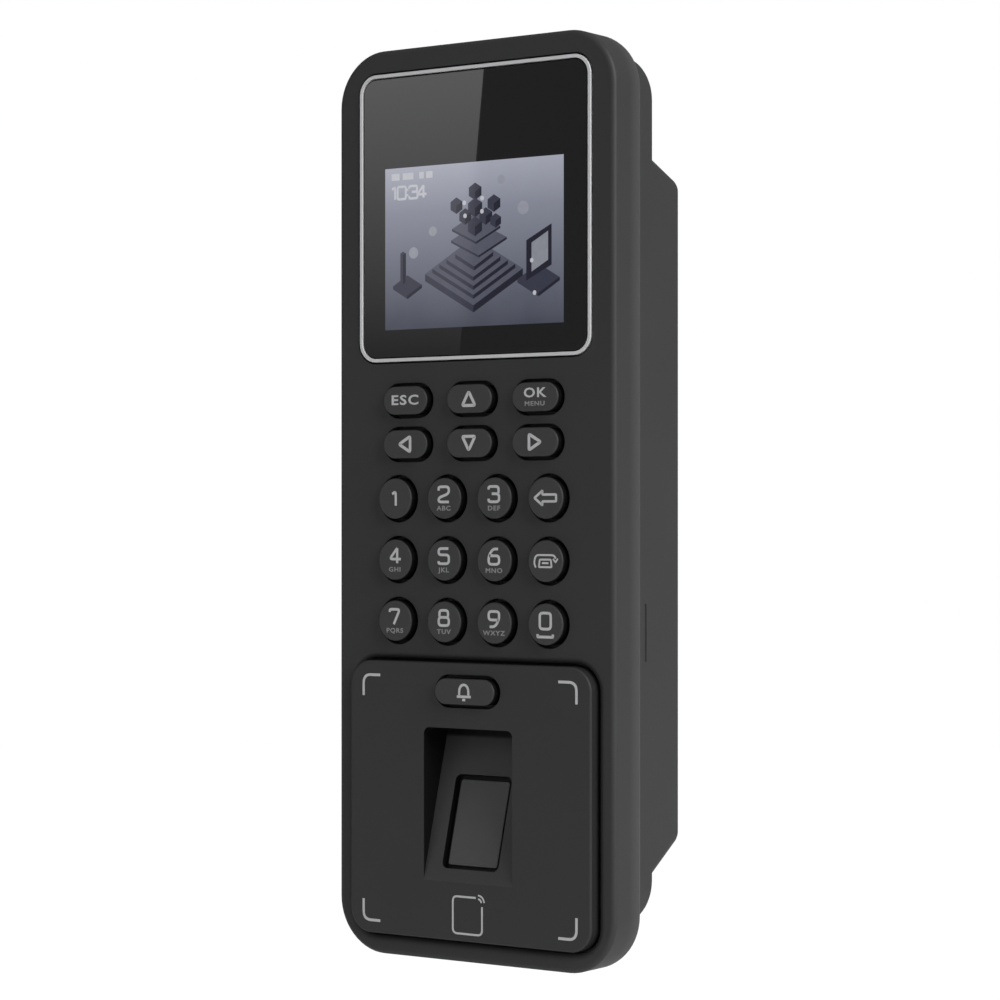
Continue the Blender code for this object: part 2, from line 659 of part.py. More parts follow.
def make_reader(case, key_material, glass, board_green, sensor_black, flex):
    panel = slab(
        "reader_panel", PANEL_WIDTH, PANEL_LOW, PANEL_TOP, PANEL_CORNER, PANEL_FACE,
        PANEL_FLANGE_FRONT + PANEL_FLANGE_THICK, case, front_round=PANEL_EDGE_ROUND, steps=BODY_ARC_STEPS,
    )
    flange = slab(
        "panel_flange", PANEL_WIDTH + 2 * PANEL_FLANGE, PANEL_LOW - PANEL_FLANGE, PANEL_TOP + PANEL_FLANGE,
        PANEL_FLANGE_CORNER, PANEL_FLANGE_FRONT, PANEL_FLANGE_FRONT + PANEL_FLANGE_THICK,
    )
    hollow = slab(
        "panel_hollow", PANEL_WIDTH - 2 * PANEL_SIDE_WALL, PANEL_LOW + PANEL_SIDE_WALL,
        PANEL_TOP - PANEL_SIDE_WALL, PANEL_CORNER - PANEL_SIDE_WALL, PANEL_BACK,
        PANEL_FLANGE_FRONT + PANEL_FLANGE_THICK + CUT_THROUGH,
    )
    shell_top = RECESS_TOP + RECESS_SHELL
    deep = PANEL_FACE + RECESS_DEPTH
    lean = RECESS_SHELL / math.cos(RAMP_ANGLE)
    bowl_front = PANEL_BACK - BOWL_LAP
    shell_foot = RECESS_FOOT + (bowl_front - lean - PANEL_FACE) / math.tan(RAMP_ANGLE)
    bowl = profile_across(
        "recess_bowl",
        [
            (bowl_front, shell_foot), (bowl_front, shell_top),
            (deep + lean, shell_top), (deep + lean, RECESS_TOP),
        ],
        RECESS_WIDTH + 2 * RECESS_SHELL,
    )
    front = PANEL_FACE - CUT_THROUGH
    recess = profile_across(
        "finger_recess",
        [
            (front, RECESS_TOP), (deep, RECESS_TOP),
            (PANEL_FACE, RECESS_FOOT), (front, RECESS_FOOT - CUT_THROUGH / math.tan(RAMP_ANGLE)),
        ],
        RECESS_WIDTH,
    )
    aperture = tilted_box(
        "sensor_aperture", SENSOR_WIDTH + 2 * SENSOR_GAP, SENSOR_LENGTH + 2 * SENSOR_GAP, -2 * CUT_THROUGH,
        RECESS_SHELL + 3 * CUT_THROUGH, corner=1.5,
    )
    bell_hole = prisms(
        "bell_hole", [key_outline(0.0, BELL_Z, BELL_LENGTH, BELL_HEIGHT, KEY_GAP)], front,
        PANEL_BACK + CUT_THROUGH,
    )
    join(panel, flange)
    cut(panel, hollow)
    join(panel, bowl)
    cut(panel, recess, aperture, bell_hole)

    bell_flange = PANEL_BACK + GAP
    bell_grow = KEY_GAP + OVAL_FLANGE_LAP
    make_key(
        "key_bell", 0.0, BELL_Z, BELL_LENGTH, BELL_HEIGHT, PANEL_FACE - BELL_PROUD, bell_flange, bell_grow,
        BELL_POST_LENGTH, key_material,
    )
    bell_board = bell_flange + KEY_FLANGE_THICK + BELL_POST_LENGTH + KEY_TRAVEL + GAP
    bell_half = BELL_HEIGHT / 2 + bell_grow
    slab(
        "bell_board", BELL_LENGTH + 2 * bell_grow, BELL_Z - bell_half, BELL_Z + bell_half, 1.0, bell_board,
        bell_board + KEYPAD_BOARD_THICK, board_green,
    )

    antenna_front = PANEL_BACK + GAP
    antenna_back = antenna_front + ANTENNA_THICK
    edge = PANEL_SIDE_WALL + ANTENNA_INSET
    antenna = slab(
        "card_antenna", PANEL_WIDTH - 2 * edge, PANEL_LOW + edge, BELL_Z - bell_half - GAP, 1.5,
        antenna_front, antenna_back, board_green,
    )
    cut(antenna, slab(
        "antenna_inside", RECESS_WIDTH + 2 * RECESS_SHELL + 2 * GAP, shell_foot - GAP, shell_top + GAP, GAP,
        antenna_front - CUT_THROUGH, antenna_back + CUT_THROUGH,
    ))

    glass_back = SENSOR_SUNK + SENSOR_GLASS_THICK
    body_front = max(glass_back, RECESS_SHELL) + GAP
    body_back = body_front + SENSOR_BODY_THICK
    tilted_box("sensor_glass", SENSOR_WIDTH, SENSOR_LENGTH, SENSOR_SUNK, glass_back, glass, corner=0.6)
    tilted_box("sensor_housing", SENSOR_BODY_WIDTH, SENSOR_BODY_LENGTH, body_front, body_back, sensor_black)
    board_front = body_back + GAP
    tilted_box(
        "sensor_board", SENSOR_BODY_WIDTH + 2, SENSOR_BODY_LENGTH, board_front,
        board_front + SENSOR_BOARD_THICK, board_green,
    )
    start = ramp_depth(SENSOR_Z) + body_back + 2.0
    end = MAIN_BOARD_DEPTH - GAP - RIBBON_THICK / 2
    make_ribbon(
        "sensor_cable",
        [
            (start + 2.6, RECESS_TOP - 6.9), (start + 4.0, RECESS_TOP - 2.4), (end, MAIN_BOARD_LOW - 2.5),
            (end, MAIN_BOARD_LOW + 3.0),
        ],
        SENSOR_CABLE_WIDTH, flex, x=SENSOR_CABLE_X,
    )


# ---------------------------------------------------------------- rear cover


def rear_outline(depth, wall=0.0):
    """The rear box's outline where its top and foot slope in towards the wall."""
    share = (depth - REAR_STEP) / (REAR_RIM - REAR_STEP)
    top = BOX_TOP + (BOX_BACK_TOP - BOX_TOP) * share
    low = BOX_LOW + (BOX_BACK_LOW - BOX_LOW) * share
    width = REAR_WIDTH - 2 * BOX_INSET - 2 * wall
    return rounded(width, low + wall, top - wall, BOX_CORNER, steps=BODY_ARC_STEPS)


def rear_body_outline(inset, wall=0.0):
    """The outline of the rear cover's shallow part, rounded off only at its top and foot."""
    edge = inset + wall
    return rounded(
        REAR_WIDTH - 2 * wall, REAR_LOW + edge, REAR_TOP - edge, REAR_CORNER - wall, steps=BODY_ARC_STEPS,
    )


def make_rear_cover(case, rubber):
    flange_inset = SIDE_WALL + GAP

    def flange(inset):
        edge = flange_inset + inset
        return rounded(
            BODY_WIDTH - 2 * edge, BODY_LOW + edge, BODY_TOP - edge, BODY_CORNER - edge, steps=BODY_ARC_STEPS,
        )

    groove_front = REAR_FLANGE_FRONT + (REAR_FLANGE_THICK - SEAL_WIDTH) / 2 - GAP
    groove_back = groove_front + SEAL_WIDTH + 2 * GAP
    loops = [
        (REAR_FLANGE_FRONT, flange(0)), (groove_front, flange(0)), (groove_front, flange(SEAL_GROOVE)),
        (groove_back, flange(SEAL_GROOVE)), (groove_back, flange(0)), (FRONT_SKIRT, flange(0)),
        (FRONT_SKIRT, rear_body_outline(0)),
    ]
    for inset, rise in reversed(fillet(REAR_ROUND)):
        loops.append((REAR_STEP - rise, rear_body_outline(inset)))
    loops.append((REAR_STEP, rear_outline(REAR_STEP)))
    edge = REAR_RIM - BOX_ROUND
    loops.append((edge, rear_outline(edge)))
    for inset, rise in reversed(fillet(BOX_ROUND)[:-1]):
        loops.append((REAR_RIM - rise, rear_outline(REAR_RIM - rise, inset)))
    cover = skin("rear_cover", loops, case)

    wall = REAR_WALL
    cavity = skin("rear_cavity", [
        (REAR_FLANGE_FRONT - CUT_THROUGH, rear_body_outline(0, wall)),
        (REAR_STEP - wall, rear_body_outline(0, wall)),
        (REAR_STEP - wall, rear_outline(REAR_STEP, wall)),
        (REAR_INSIDE, rear_outline(REAR_INSIDE, wall)),
    ])
    cut(cover, cavity)
    columns = prisms(
        "screw_columns", [disc(CASE_COLUMN_RADIUS, x, z) for x, z in case_screw_places() if z < BOX_TOP],
        CASE_SCREW_SEAT - REAR_WALL, REAR_INSIDE + 1.0,
    )
    top_columns = prisms(
        "top_screw_columns", [disc(CASE_COLUMN_RADIUS, x, z) for x, z in case_screw_places() if z > BOX_TOP],
        CASE_SCREW_SEAT - REAR_WALL, REAR_STEP - 0.5,
    )
    posts = prisms(
        "board_posts", [disc(POST_RADIUS, x, z) for x, z in board_screw_places()], MAIN_BOARD_BACK + GAP,
        REAR_INSIDE + 1.0,
    )
    boss_half = FIXING_SCREW_HEAD + SCREW_CLEARANCE + 1.5
    fixing_boss = slab(
        "fixing_boss", 2 * boss_half, BOX_LOW + 2.5, fixing_seat() + 3.0, 0.5, FIXING_SCREW_DEPTH - boss_half,
        REAR_INSIDE + 1.0,
    )
    slope = profile_across(
        "fixing_boss_slope",
        [(REAR_STEP - 20, BOX_LOW - 20)] + [
            (depth, min(z for _, z in rear_outline(depth, wall / 2))) for depth in (REAR_STEP, REAR_RIM)
        ] + [(REAR_RIM, BOX_LOW - 20)],
        4 * boss_half,
    )
    cut(fixing_boss, slope)
    join(cover, columns, top_columns, posts, fixing_boss)
    wells = prisms(
        "screw_wells", [disc(CASE_SCREW_HEAD + SCREW_CLEARANCE, x, z) for x, z in case_screw_places()],
        CASE_SCREW_SEAT, BODY_DEPTH + CUT_THROUGH,
    )
    holes = prisms(
        "screw_holes", [disc(CASE_SCREW_SHANK + SCREW_CLEARANCE, x, z) for x, z in case_screw_places()],
        CASE_SCREW_SEAT - 4, CASE_SCREW_SEAT + CUT_THROUGH,
    )
    pilots = prisms(
        "board_pilots", [disc(CASE_SCREW_SHANK + GAP, x, z) for x, z in board_screw_places()],
        MAIN_BOARD_BACK - 1, MAIN_BOARD_BACK + BOARD_SCREW_LENGTH + 1,
    )
    plate_seat = slab(
        "plate_seat", PLATE_WIDTH + 2 * PLATE_CLEARANCE, -PLATE_HEIGHT / 2 - PLATE_CLEARANCE,
        PLATE_HEIGHT / 2 + PLATE_CLEARANCE, PLATE_CORNER + PLATE_CLEARANCE, RECESS_FLOOR,
        BODY_DEPTH + CUT_THROUGH,
    )
    cable = slab(
        "rear_cable_opening", CABLE_WIDTH, CABLE_Z - CABLE_HEIGHT / 2, CABLE_Z + CABLE_HEIGHT / 2, 2.0,
        REAR_INSIDE - CUT_THROUGH, BODY_DEPTH + CUT_THROUGH,
    )
    hook_slots = prisms(
        "hook_slots",
        [
            rounded(HOOK_WIDTH + 1, z - PLATE_THICK - HOOK_PLAY, z + HOOK_LIP + 1, 0.5, side * HOOK_X)
            for z in HOOK_Z for side in (-1, 1)
        ],
        REAR_INSIDE - CUT_THROUGH, RECESS_FLOOR + CUT_THROUGH,
    )
    tab_slot = prisms(
        "tab_slot", [rounded(TAB_WIDTH + 1, tab_top() - PLATE_THICK - 0.5, tab_top() + 0.5, 0.3)],
        REAR_INSIDE - CUT_THROUGH, RECESS_FLOOR + CUT_THROUGH,
    )
    plunger_hole = prisms(
        "plunger_hole", [disc(PLUNGER_RADIUS + SCREW_CLEARANCE, TAMPER_X, TAMPER_Z)],
        REAR_INSIDE - CUT_THROUGH, RECESS_FLOOR + CUT_THROUGH,
    )
    side_slots = prisms(
        "side_slots",
        [
            rounded(
                2 * SIDE_SLOT_CUT, SIDE_SLOT_Z - SIDE_SLOT_LENGTH / 2, SIDE_SLOT_Z + SIDE_SLOT_LENGTH / 2,
                0.3, side * REAR_WIDTH / 2,
            )
            for side in (-1, 1)
        ],
        SIDE_SLOT_DEPTH - SIDE_SLOT_WIDTH / 2, SIDE_SLOT_DEPTH + SIDE_SLOT_WIDTH / 2,
    )
    bore = FIXING_SCREW_HEAD + SCREW_CLEARANCE
    counterbore = turned(
        "fixing_counterbore", [(0.0, bore), (12.0, bore)], (0.0, FIXING_SCREW_DEPTH, fixing_seat() - 12.0),
        (0, 0, 1),
    )
    hole = FIXING_SCREW_SHANK + SCREW_CLEARANCE
    fixing_hole = turned(
        "fixing_hole", [(-CUT_THROUGH, hole), (tab_top() - fixing_seat(), hole)],
        (0.0, FIXING_SCREW_DEPTH, fixing_seat()), (0, 0, 1),
    )
    cut(cover, wells, holes, pilots, plate_seat, cable, hook_slots, tab_slot, plunger_hole, side_slots)
    cut(cover, counterbore, fixing_hole)

    seal = skin("seam_seal", [
        (groove_front + GAP, flange(0)), (groove_front + GAP + SEAL_WIDTH, flange(0)),
    ], rubber)
    cut(seal, skin("seal_inside", [
        (REAR_FLANGE_FRONT, flange(SEAL_GROOVE - GAP)), (FRONT_SKIRT, flange(SEAL_GROOVE - GAP)),
    ]))


def board_screw_places():
    return [(side * BOARD_SCREW_X, z) for z in BOARD_SCREW_Z for side in (-1, 1)]


def fixing_seat():
    """Height of the face that the fixing screw's head presses on, inside the sloping foot of the rear box."""
    return BOX_BACK_LOW - 0.5


# ---------------------------------------------------------------- wall plate and fasteners


def tab_top():
    """Top face of the tab that the fixing screw bites in."""
    return -PLATE_HEIGHT / 2 + PLATE_THICK


def make_wall_plate(steel):
    front = BODY_DEPTH - PLATE_THICK
    plate = slab(
        "wall_plate", PLATE_WIDTH, -PLATE_HEIGHT / 2, PLATE_HEIGHT / 2, PLATE_CORNER, front, BODY_DEPTH,
        steel,
    )
    for index, z in enumerate(HOOK_Z):
        for side in (-1, 1):
            hook_points = [
                (front + 0.5, z), (front - HOOK_REACH, z), (front - HOOK_REACH, z + HOOK_LIP),
                (front - HOOK_REACH - PLATE_THICK, z + HOOK_LIP),
                (front - HOOK_REACH - PLATE_THICK, z - PLATE_THICK), (front + 0.5, z - PLATE_THICK),
            ]
            join(plate, profile_across(f"hook_{index}_{side + 1}", hook_points, HOOK_WIDTH, side * HOOK_X))
    tab_points = [
        (front + 0.5, tab_top()), (front - TAB_REACH, tab_top()),
        (front - TAB_REACH, tab_top() - PLATE_THICK), (front + 0.5, tab_top() - PLATE_THICK),
    ]
    join(plate, profile_across("fixing_tab", tab_points, TAB_WIDTH))
    gang = GANG_BOX_PITCH / 2
    places = [(side * PLATE_HOLE_X, level * PLATE_HOLE_Z) for side in (-1, 1) for level in (-1, 1)]
    holes = [disc(PLATE_HOLE_RADIUS, x, z) for x, z in places + [(0.0, gang), (0.0, -gang)]]
    cut(plate, prisms("plate_holes", holes, front - CUT_THROUGH, BODY_DEPTH + CUT_THROUGH))
    cut(plate, slab(
        "plate_cable_opening", CABLE_WIDTH, CABLE_Z - CABLE_HEIGHT / 2, CABLE_Z + CABLE_HEIGHT / 2, 2.0,
        front - CUT_THROUGH, BODY_DEPTH + CUT_THROUGH,
    ))
    hole = FIXING_SCREW_SHANK + SCREW_CLEARANCE
    cut(plate, turned(
        "tab_hole", [(0.0, hole), (PLATE_THICK + 2 * CUT_THROUGH, hole)],
        (0.0, FIXING_SCREW_DEPTH, tab_top() - PLATE_THICK - CUT_THROUGH), (0, 0, 1),
    ))


def screw_profile(head, shank, length):
    """A pan head with a round driver socket, then the shank and its short point."""
    socket = head * 0.45
    return [
        (SOCKET_DEPTH, socket), (0.0, socket), (0.0, head * 0.8), (0.35, head), (HEAD_THICK, head),
        (HEAD_THICK, shank), (HEAD_THICK + length - POINT_LENGTH, shank), (HEAD_THICK + length, shank * 0.4),
    ]


def make_fasteners(screw_steel):
    case_profile = screw_profile(CASE_SCREW_HEAD, CASE_SCREW_SHANK, CASE_SCREW_LENGTH)
    for index, (x, z) in enumerate(case_screw_places(), 1):
        start = CASE_SCREW_SEAT + GAP + HEAD_THICK
        turned(f"case_screw_{index}", case_profile, (x, start, z), (0, -1, 0), screw_steel)
    board_profile = screw_profile(CASE_SCREW_HEAD, CASE_SCREW_SHANK, BOARD_SCREW_LENGTH)
    for index, (x, z) in enumerate(board_screw_places(), 1):
        start = MAIN_BOARD_DEPTH - GAP - HEAD_THICK
        turned(f"board_screw_{index}", board_profile, (x, start, z), (0, 1, 0), screw_steel)
    length = tab_top() + 1.5 - fixing_seat()
    start = fixing_seat() - GAP - HEAD_THICK
    turned(
        "fixing_screw", screw_profile(FIXING_SCREW_HEAD, FIXING_SCREW_SHANK, length),
        (0.0, FIXING_SCREW_DEPTH, start), (0, 0, 1), screw_steel,
    )


# ---------------------------------------------------------------- main board and tamper switch


def make_header(name, x, z, width, height, material):
    """A board header: an open socket that faces the wall."""
    front = MAIN_BOARD_BACK + GAP
    back = front + HEADER_LENGTH
    header = slab(name, width, z - height / 2, z + height / 2, 0.4, front, back, material, x=x)
    cut(header, slab(
        name + "_socket", width - 2 * HEADER_WALL, z - height / 2 + HEADER_WALL,
        z + height / 2 - HEADER_WALL, 0.2, front + HEADER_FLOOR, back + CUT_THROUGH, x=x,
    ))


def make_electronics(board_green, metal, black, white, key_material):
    board = slab(
        "main_board", MAIN_BOARD_WIDTH, MAIN_BOARD_LOW, MAIN_BOARD_TOP, 1.5, MAIN_BOARD_DEPTH,
        MAIN_BOARD_BACK, board_green,
    )
    holes = [disc(CASE_SCREW_SHANK + GAP, x, z) for x, z in board_screw_places()]
    notches = [disc(CASE_COLUMN_RADIUS + GAP, x, z) for x, z in case_screw_places()]
    cut(board, prisms(
        "board_holes", holes + notches, MAIN_BOARD_DEPTH - CUT_THROUGH, MAIN_BOARD_BACK + CUT_THROUGH,
    ))
    slab(
        "processor_shield", SHIELD_SIZE, SHIELD_LOW, SHIELD_LOW + SHIELD_SIZE, 1.0,
        MAIN_BOARD_DEPTH - GAP - SHIELD_THICK, MAIN_BOARD_DEPTH - GAP, metal, x=SHIELD_X, front_round=0.4,
    )
    behind = MAIN_BOARD_BACK + GAP
    turned(
        "clock_battery", [(0.0, BATTERY_RADIUS), (BATTERY_THICK, BATTERY_RADIUS)],
        (BATTERY_PLACE[0], behind, BATTERY_PLACE[1]), (0, 1, 0), metal, sides=DRUM_SIDES,
    )
    turned(
        "buzzer",
        [
            (0.0, BUZZER_RADIUS), (BUZZER_HEIGHT - 0.5, BUZZER_RADIUS), (BUZZER_HEIGHT, BUZZER_RADIUS - 0.5),
            (BUZZER_HEIGHT, BUZZER_HOLE_RADIUS), (BUZZER_HEIGHT - 1.0, BUZZER_HOLE_RADIUS),
        ],
        (BUZZER_PLACE[0], behind, BUZZER_PLACE[1]), (0, 1, 0), black, sides=DRUM_SIDES,
    )
    for name, x, z, width, height in HEADERS:
        make_header(name, x, z, width, height, white)
    slab(
        "tamper_switch", SWITCH_SIZE, TAMPER_Z - SWITCH_SIZE / 2, TAMPER_Z + SWITCH_SIZE / 2, 0.8, behind,
        SWITCH_BACK - GAP - PLUNGER_TRAVEL, black, x=TAMPER_X,
    )
    collar = PLUNGER_RADIUS + PLUNGER_COLLAR
    length = BODY_DEPTH - PLATE_THICK - GAP - SWITCH_BACK
    turned(
        "tamper_plunger",
        [
            (0.0, collar), (1.0, collar), (1.0, PLUNGER_RADIUS), (length - PLUNGER_TIP, PLUNGER_RADIUS),
            (length, PLUNGER_RADIUS - PLUNGER_TIP),
        ],
        (TAMPER_X, SWITCH_BACK, TAMPER_Z), (0, 1, 0), key_material,
    )


# ---------------------------------------------------------------- the whole terminal


def clear_scene():
    for old in list(bpy.data.objects):
        bpy.data.objects.remove(old)


def main():
    clear_scene()
    case = make_material("case_plastic", (0.032, 0.032, 0.034), 0.5)
    keys = make_material("key_plastic", (0.036, 0.036, 0.038), 0.55)
    trim = make_material("trim_silver", (0.55, 0.55, 0.56), 0.35, 0.6)
    window = make_material("window_glass", (0.012, 0.012, 0.014), 0.06)
    sensor = make_material("sensor_glass", (0.055, 0.055, 0.058), 0.3)
    black = make_material("inner_black", (0.02, 0.02, 0.02), 0.6)
    silicone = make_material("silicone", (0.08, 0.08, 0.085), 0.7)
    rubber = make_material("seal_rubber", (0.03, 0.03, 0.03), 0.8)
    board = make_material("circuit_board", (0.02, 0.11, 0.05), 0.45)
    metal = make_material("shield_metal", (0.6, 0.6, 0.6), 0.35, 0.9)
    steel = make_material("plate_steel", (0.5, 0.5, 0.51), 0.4, 0.9)
    screw = make_material("screw_steel", (0.35, 0.35, 0.36), 0.35, 0.9)
    white = make_material("connector_white", (0.75, 0.74, 0.7), 0.5)
    flex = make_material("flex_amber", (0.35, 0.18, 0.05), 0.4)

    make_front_cover(case)
    make_display(trim, window, black, metal, flex)
    make_keypad(keys, silicone, board, flex)
    make_reader(case, keys, sensor, board, black, flex)
    make_rear_cover(case, rubber)
    make_wall_plate(steel)
    make_fasteners(screw)
    make_electronics(board, metal, black, white, keys)


main()
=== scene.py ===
import math

import bmesh
import bpy
from mathutils import Matrix, Vector


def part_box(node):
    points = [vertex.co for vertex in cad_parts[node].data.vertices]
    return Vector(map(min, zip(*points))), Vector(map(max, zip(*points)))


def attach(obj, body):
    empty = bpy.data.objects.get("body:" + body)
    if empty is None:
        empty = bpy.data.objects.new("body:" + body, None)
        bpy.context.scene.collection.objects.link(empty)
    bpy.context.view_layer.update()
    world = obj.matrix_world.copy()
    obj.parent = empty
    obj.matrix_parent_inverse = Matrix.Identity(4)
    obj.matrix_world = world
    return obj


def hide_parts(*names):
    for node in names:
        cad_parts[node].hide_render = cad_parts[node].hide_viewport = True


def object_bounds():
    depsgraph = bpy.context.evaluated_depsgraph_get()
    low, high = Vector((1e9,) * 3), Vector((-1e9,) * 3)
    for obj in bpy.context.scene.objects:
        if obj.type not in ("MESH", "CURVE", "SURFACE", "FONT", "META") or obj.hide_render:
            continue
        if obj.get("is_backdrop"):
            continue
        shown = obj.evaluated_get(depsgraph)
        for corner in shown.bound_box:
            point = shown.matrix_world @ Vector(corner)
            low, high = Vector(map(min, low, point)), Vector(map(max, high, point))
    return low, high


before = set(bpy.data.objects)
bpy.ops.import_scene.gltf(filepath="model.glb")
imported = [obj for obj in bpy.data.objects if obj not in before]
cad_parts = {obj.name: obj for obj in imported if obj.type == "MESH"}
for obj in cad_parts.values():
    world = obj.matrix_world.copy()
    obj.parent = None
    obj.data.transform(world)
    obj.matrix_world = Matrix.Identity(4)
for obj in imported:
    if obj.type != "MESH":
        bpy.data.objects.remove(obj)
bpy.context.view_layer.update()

bl_info = {
    "name": "Fingerprint Terminal",
    "version": (1, 0, 0),
    "blender": (4, 5, 0),
    "location": "View3D > Sidebar > Terminal",
    "description": "Finishes the pieces of a wall-mounted fingerprint, card and keypad terminal",
    "category": "Object",
}

MM = 0.001
NEAR = 1e-7  # points nearer than this are one
ROOT_BODY = "terminal"
BODY_STEPS = 14  # segments in each rounded corner of the large outlines
SMALL_STEPS = 8
FILLET_STEPS = 4
OVERRUN = 1.0 * MM  # how far a cutter runs past a surface
INK_HEIGHT = 0.03 * MM
INK_SUNK = 0.02 * MM
SMOOTH_ANGLE = math.radians(32)
FLAT_ANGLE = math.radians(1)

# ---- sizes and colours a user would change


class TerminalSizes(bpy.types.PropertyGroup):
    """Sizes of the fine shapes, which the CAD solids only block out."""

    body_corner: bpy.props.FloatProperty(
        name="Body Corner", description="Radius of the cover's corners", default=0.0125, unit="LENGTH"
    )
    front_edge: bpy.props.FloatProperty(
        name="Front Edge", description="Rounding of the cover's front edge", default=0.0012, unit="LENGTH"
    )
    rear_edge: bpy.props.FloatProperty(
        name="Rear Edge", description="Rounding of the cover's rear edge", default=0.0018, unit="LENGTH"
    )
    key_gap: bpy.props.FloatProperty(
        name="Key Gap", description="Clearance round each key cap in its hole", default=0.0008, unit="LENGTH"
    )
    key_edge: bpy.props.FloatProperty(
        name="Key Edge", description="Rounding of a key cap's top edge", default=0.0003, unit="LENGTH"
    )
    hole_edge: bpy.props.FloatProperty(
        name="Hole Edge", description="Rounding of the rim of each key hole", default=0.0001, unit="LENGTH"
    )
    legend_line: bpy.props.FloatProperty(
        name="Legend Line", description="Width of the print on the keys", default=0.0006, unit="LENGTH"
    )
    mark_line: bpy.props.FloatProperty(
        name="Mark Line", description="Width of the marks on the panel", default=0.00062, unit="LENGTH"
    )
    grain: bpy.props.FloatProperty(
        name="Grain", description="Size of the moulded grain on the covers", default=0.00035, unit="LENGTH"
    )


class TerminalColours(bpy.types.PropertyGroup):
    """Colours of the finishes that show most."""

    cover: bpy.props.FloatVectorProperty(
        name="Cover", description="Plastic of the covers", default=(0.0325, 0.0325, 0.0335), subtype="COLOR"
    )
    key: bpy.props.FloatVectorProperty(
        name="Key", description="Moulded plastic of the keys", default=(0.038, 0.038, 0.039), subtype="COLOR"
    )
    ink: bpy.props.FloatVectorProperty(
        name="Ink", description="Printed legends and marks", default=(0.45, 0.45, 0.46), subtype="COLOR"
    )
    # Painted shade: the near-black colour that the sides of keys and openings fall to, in place of the shade
    # in their gaps.
    painted_shade: bpy.props.FloatVectorProperty(
        name="Bare Plastic", description="Uncoated plastic at the sides of keys and openings",
        default=(0.0025, 0.0025, 0.0026), subtype="COLOR",
    )
    trim: bpy.props.FloatVectorProperty(
        name="Trim", description="Satin frame round the display", default=(0.56, 0.56, 0.57), subtype="COLOR"
    )
    picture_top: bpy.props.FloatVectorProperty(
        name="Picture Top", description="Top of the picture", default=(0.36, 0.37, 0.44), subtype="COLOR"
    )
    picture_foot: bpy.props.FloatVectorProperty(
        name="Picture Foot", description="Lower part of the picture", default=(0.030, 0.035, 0.053),
        subtype="COLOR",
    )


def sizes():
    return bpy.context.scene.terminal_sizes


def colours():
    return bpy.context.scene.terminal_colours


# ---- outlines, lofts and cuts


class Span:
    """A CAD node's box, with its edges under plain names."""

    def __init__(self, node):
        low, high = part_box(node)
        self.left, self.front, self.foot = low
        self.right, self.back, self.top = high
        self.x = (self.left + self.right) / 2
        self.z = (self.foot + self.top) / 2
        self.width = self.right - self.left
        self.height = self.top - self.foot

    def grown(self, by):
        """Width, foot and top of the box's outline, moved outwards."""
        return self.width + 2 * by, self.foot - by, self.top + by


def outline(width, low, high, radius, x=0.0, steps=BODY_STEPS):
    """A rounded rectangle in the XZ plane, as (x, z) points."""
    radius = max(min(radius, width / 2 - NEAR, (high - low) / 2 - NEAR), NEAR)
    corners = (
        (x + width / 2 - radius, high - radius, 0),
        (x - width / 2 + radius, high - radius, 90),
        (x - width / 2 + radius, low + radius, 180),
        (x + width / 2 - radius, low + radius, 270),
    )
    points = []
    for corner_x, corner_z, start in corners:
        for step in range(steps + 1):
            angle = math.radians(start + 90 * step / steps)
            points.append((corner_x + radius * math.cos(angle), corner_z + radius * math.sin(angle)))
    return points


def offsets(width, low, high, radius, x, steps):
    """Gives the same rounded rectangle at any distance outwards from its own edge."""
    return lambda out: outline(width + 2 * out, low - out, high + out, radius + out, x, steps)


def fillet(radius, steps=FILLET_STEPS):
    """Pairs of inset and depth that round an edge, from the face to the side."""
    if not radius:
        return [(0.0, 0.0)]
    angles = [math.pi / 2 * step / steps for step in range(steps + 1)]
    return [(radius * (1 - math.sin(a)), radius * (1 - math.cos(a))) for a in angles]


def skin(bm, rings):
    """Walls between rings of equal length, with a cap at both ends."""
    for near, far in zip(rings, rings[1:]):
        for i in range(len(near)):
            j = (i + 1) % len(near)
            bm.faces.new((near[i], near[j], far[j], far[i]))
    bm.faces.new(rings[0])
    bm.faces.new(rings[-1][::-1])


def add_loft(bm, loops):
    """A closed body through outlines of equal length at given Y places."""
    skin(bm, [[bm.verts.new((x, y, z)) for x, z in points] for y, points in loops])


def linked(name, data):
    made = bpy.data.objects.new(name, data)
    bpy.context.scene.collection.objects.link(made)
    return made


def as_object(name, bm):
    bmesh.ops.remove_doubles(bm, verts=bm.verts, dist=NEAR)
    bmesh.ops.recalc_face_normals(bm, faces=bm.faces)
    mesh = bpy.data.meshes.new(name)
    bm.to_mesh(mesh)
    bm.free()
    return linked(name, mesh)


def lofts(name, many):
    """Several separate closed bodies in one mesh, for cutters that don't touch."""
    bm = bmesh.new()
    for loops in many:
        add_loft(bm, loops)
    return as_object(name, bm)


def loft(name, loops):
    return lofts(name, [loops])


def slab_loops(
    width, low, high, radius, front, back, x=0.0, front_round=0.0, back_round=0.0, steps=SMALL_STEPS
):
    """A slab between two Y places, with its front and back edges rounded."""
    at = offsets(width, low, high, radius, x, steps)
    loops = [(front + rise, at(-inset)) for inset, rise in fillet(front_round)]
    return loops + [(back - rise, at(-inset)) for inset, rise in reversed(fillet(back_round))]


def flared_loops(width, low, high, radius, face, back, flare, x=0.0, steps=SMALL_STEPS):
    """A hole cutter whose mouth at the face is rounded outwards."""
    at = offsets(width, low, high, radius, x, steps)
    mouth = [(face + rise, at(out)) for out, rise in fillet(flare)]
    return [(face - OVERRUN, at(flare)), *mouth, (back, at(0.0))]


def across(name, points, width, x=0.0):
    """A closed profile of (y, z) points, carried across X."""
    bm = bmesh.new()
    skin(bm, [[bm.verts.new((x + side, y, z)) for y, z in points] for side in (-width / 2, width / 2)])
    return as_object(name, bm)


def upright(direction):
    """Turns +Z into a direction."""
    return Vector(direction).to_track_quat("Z", "Y").to_matrix().to_4x4()


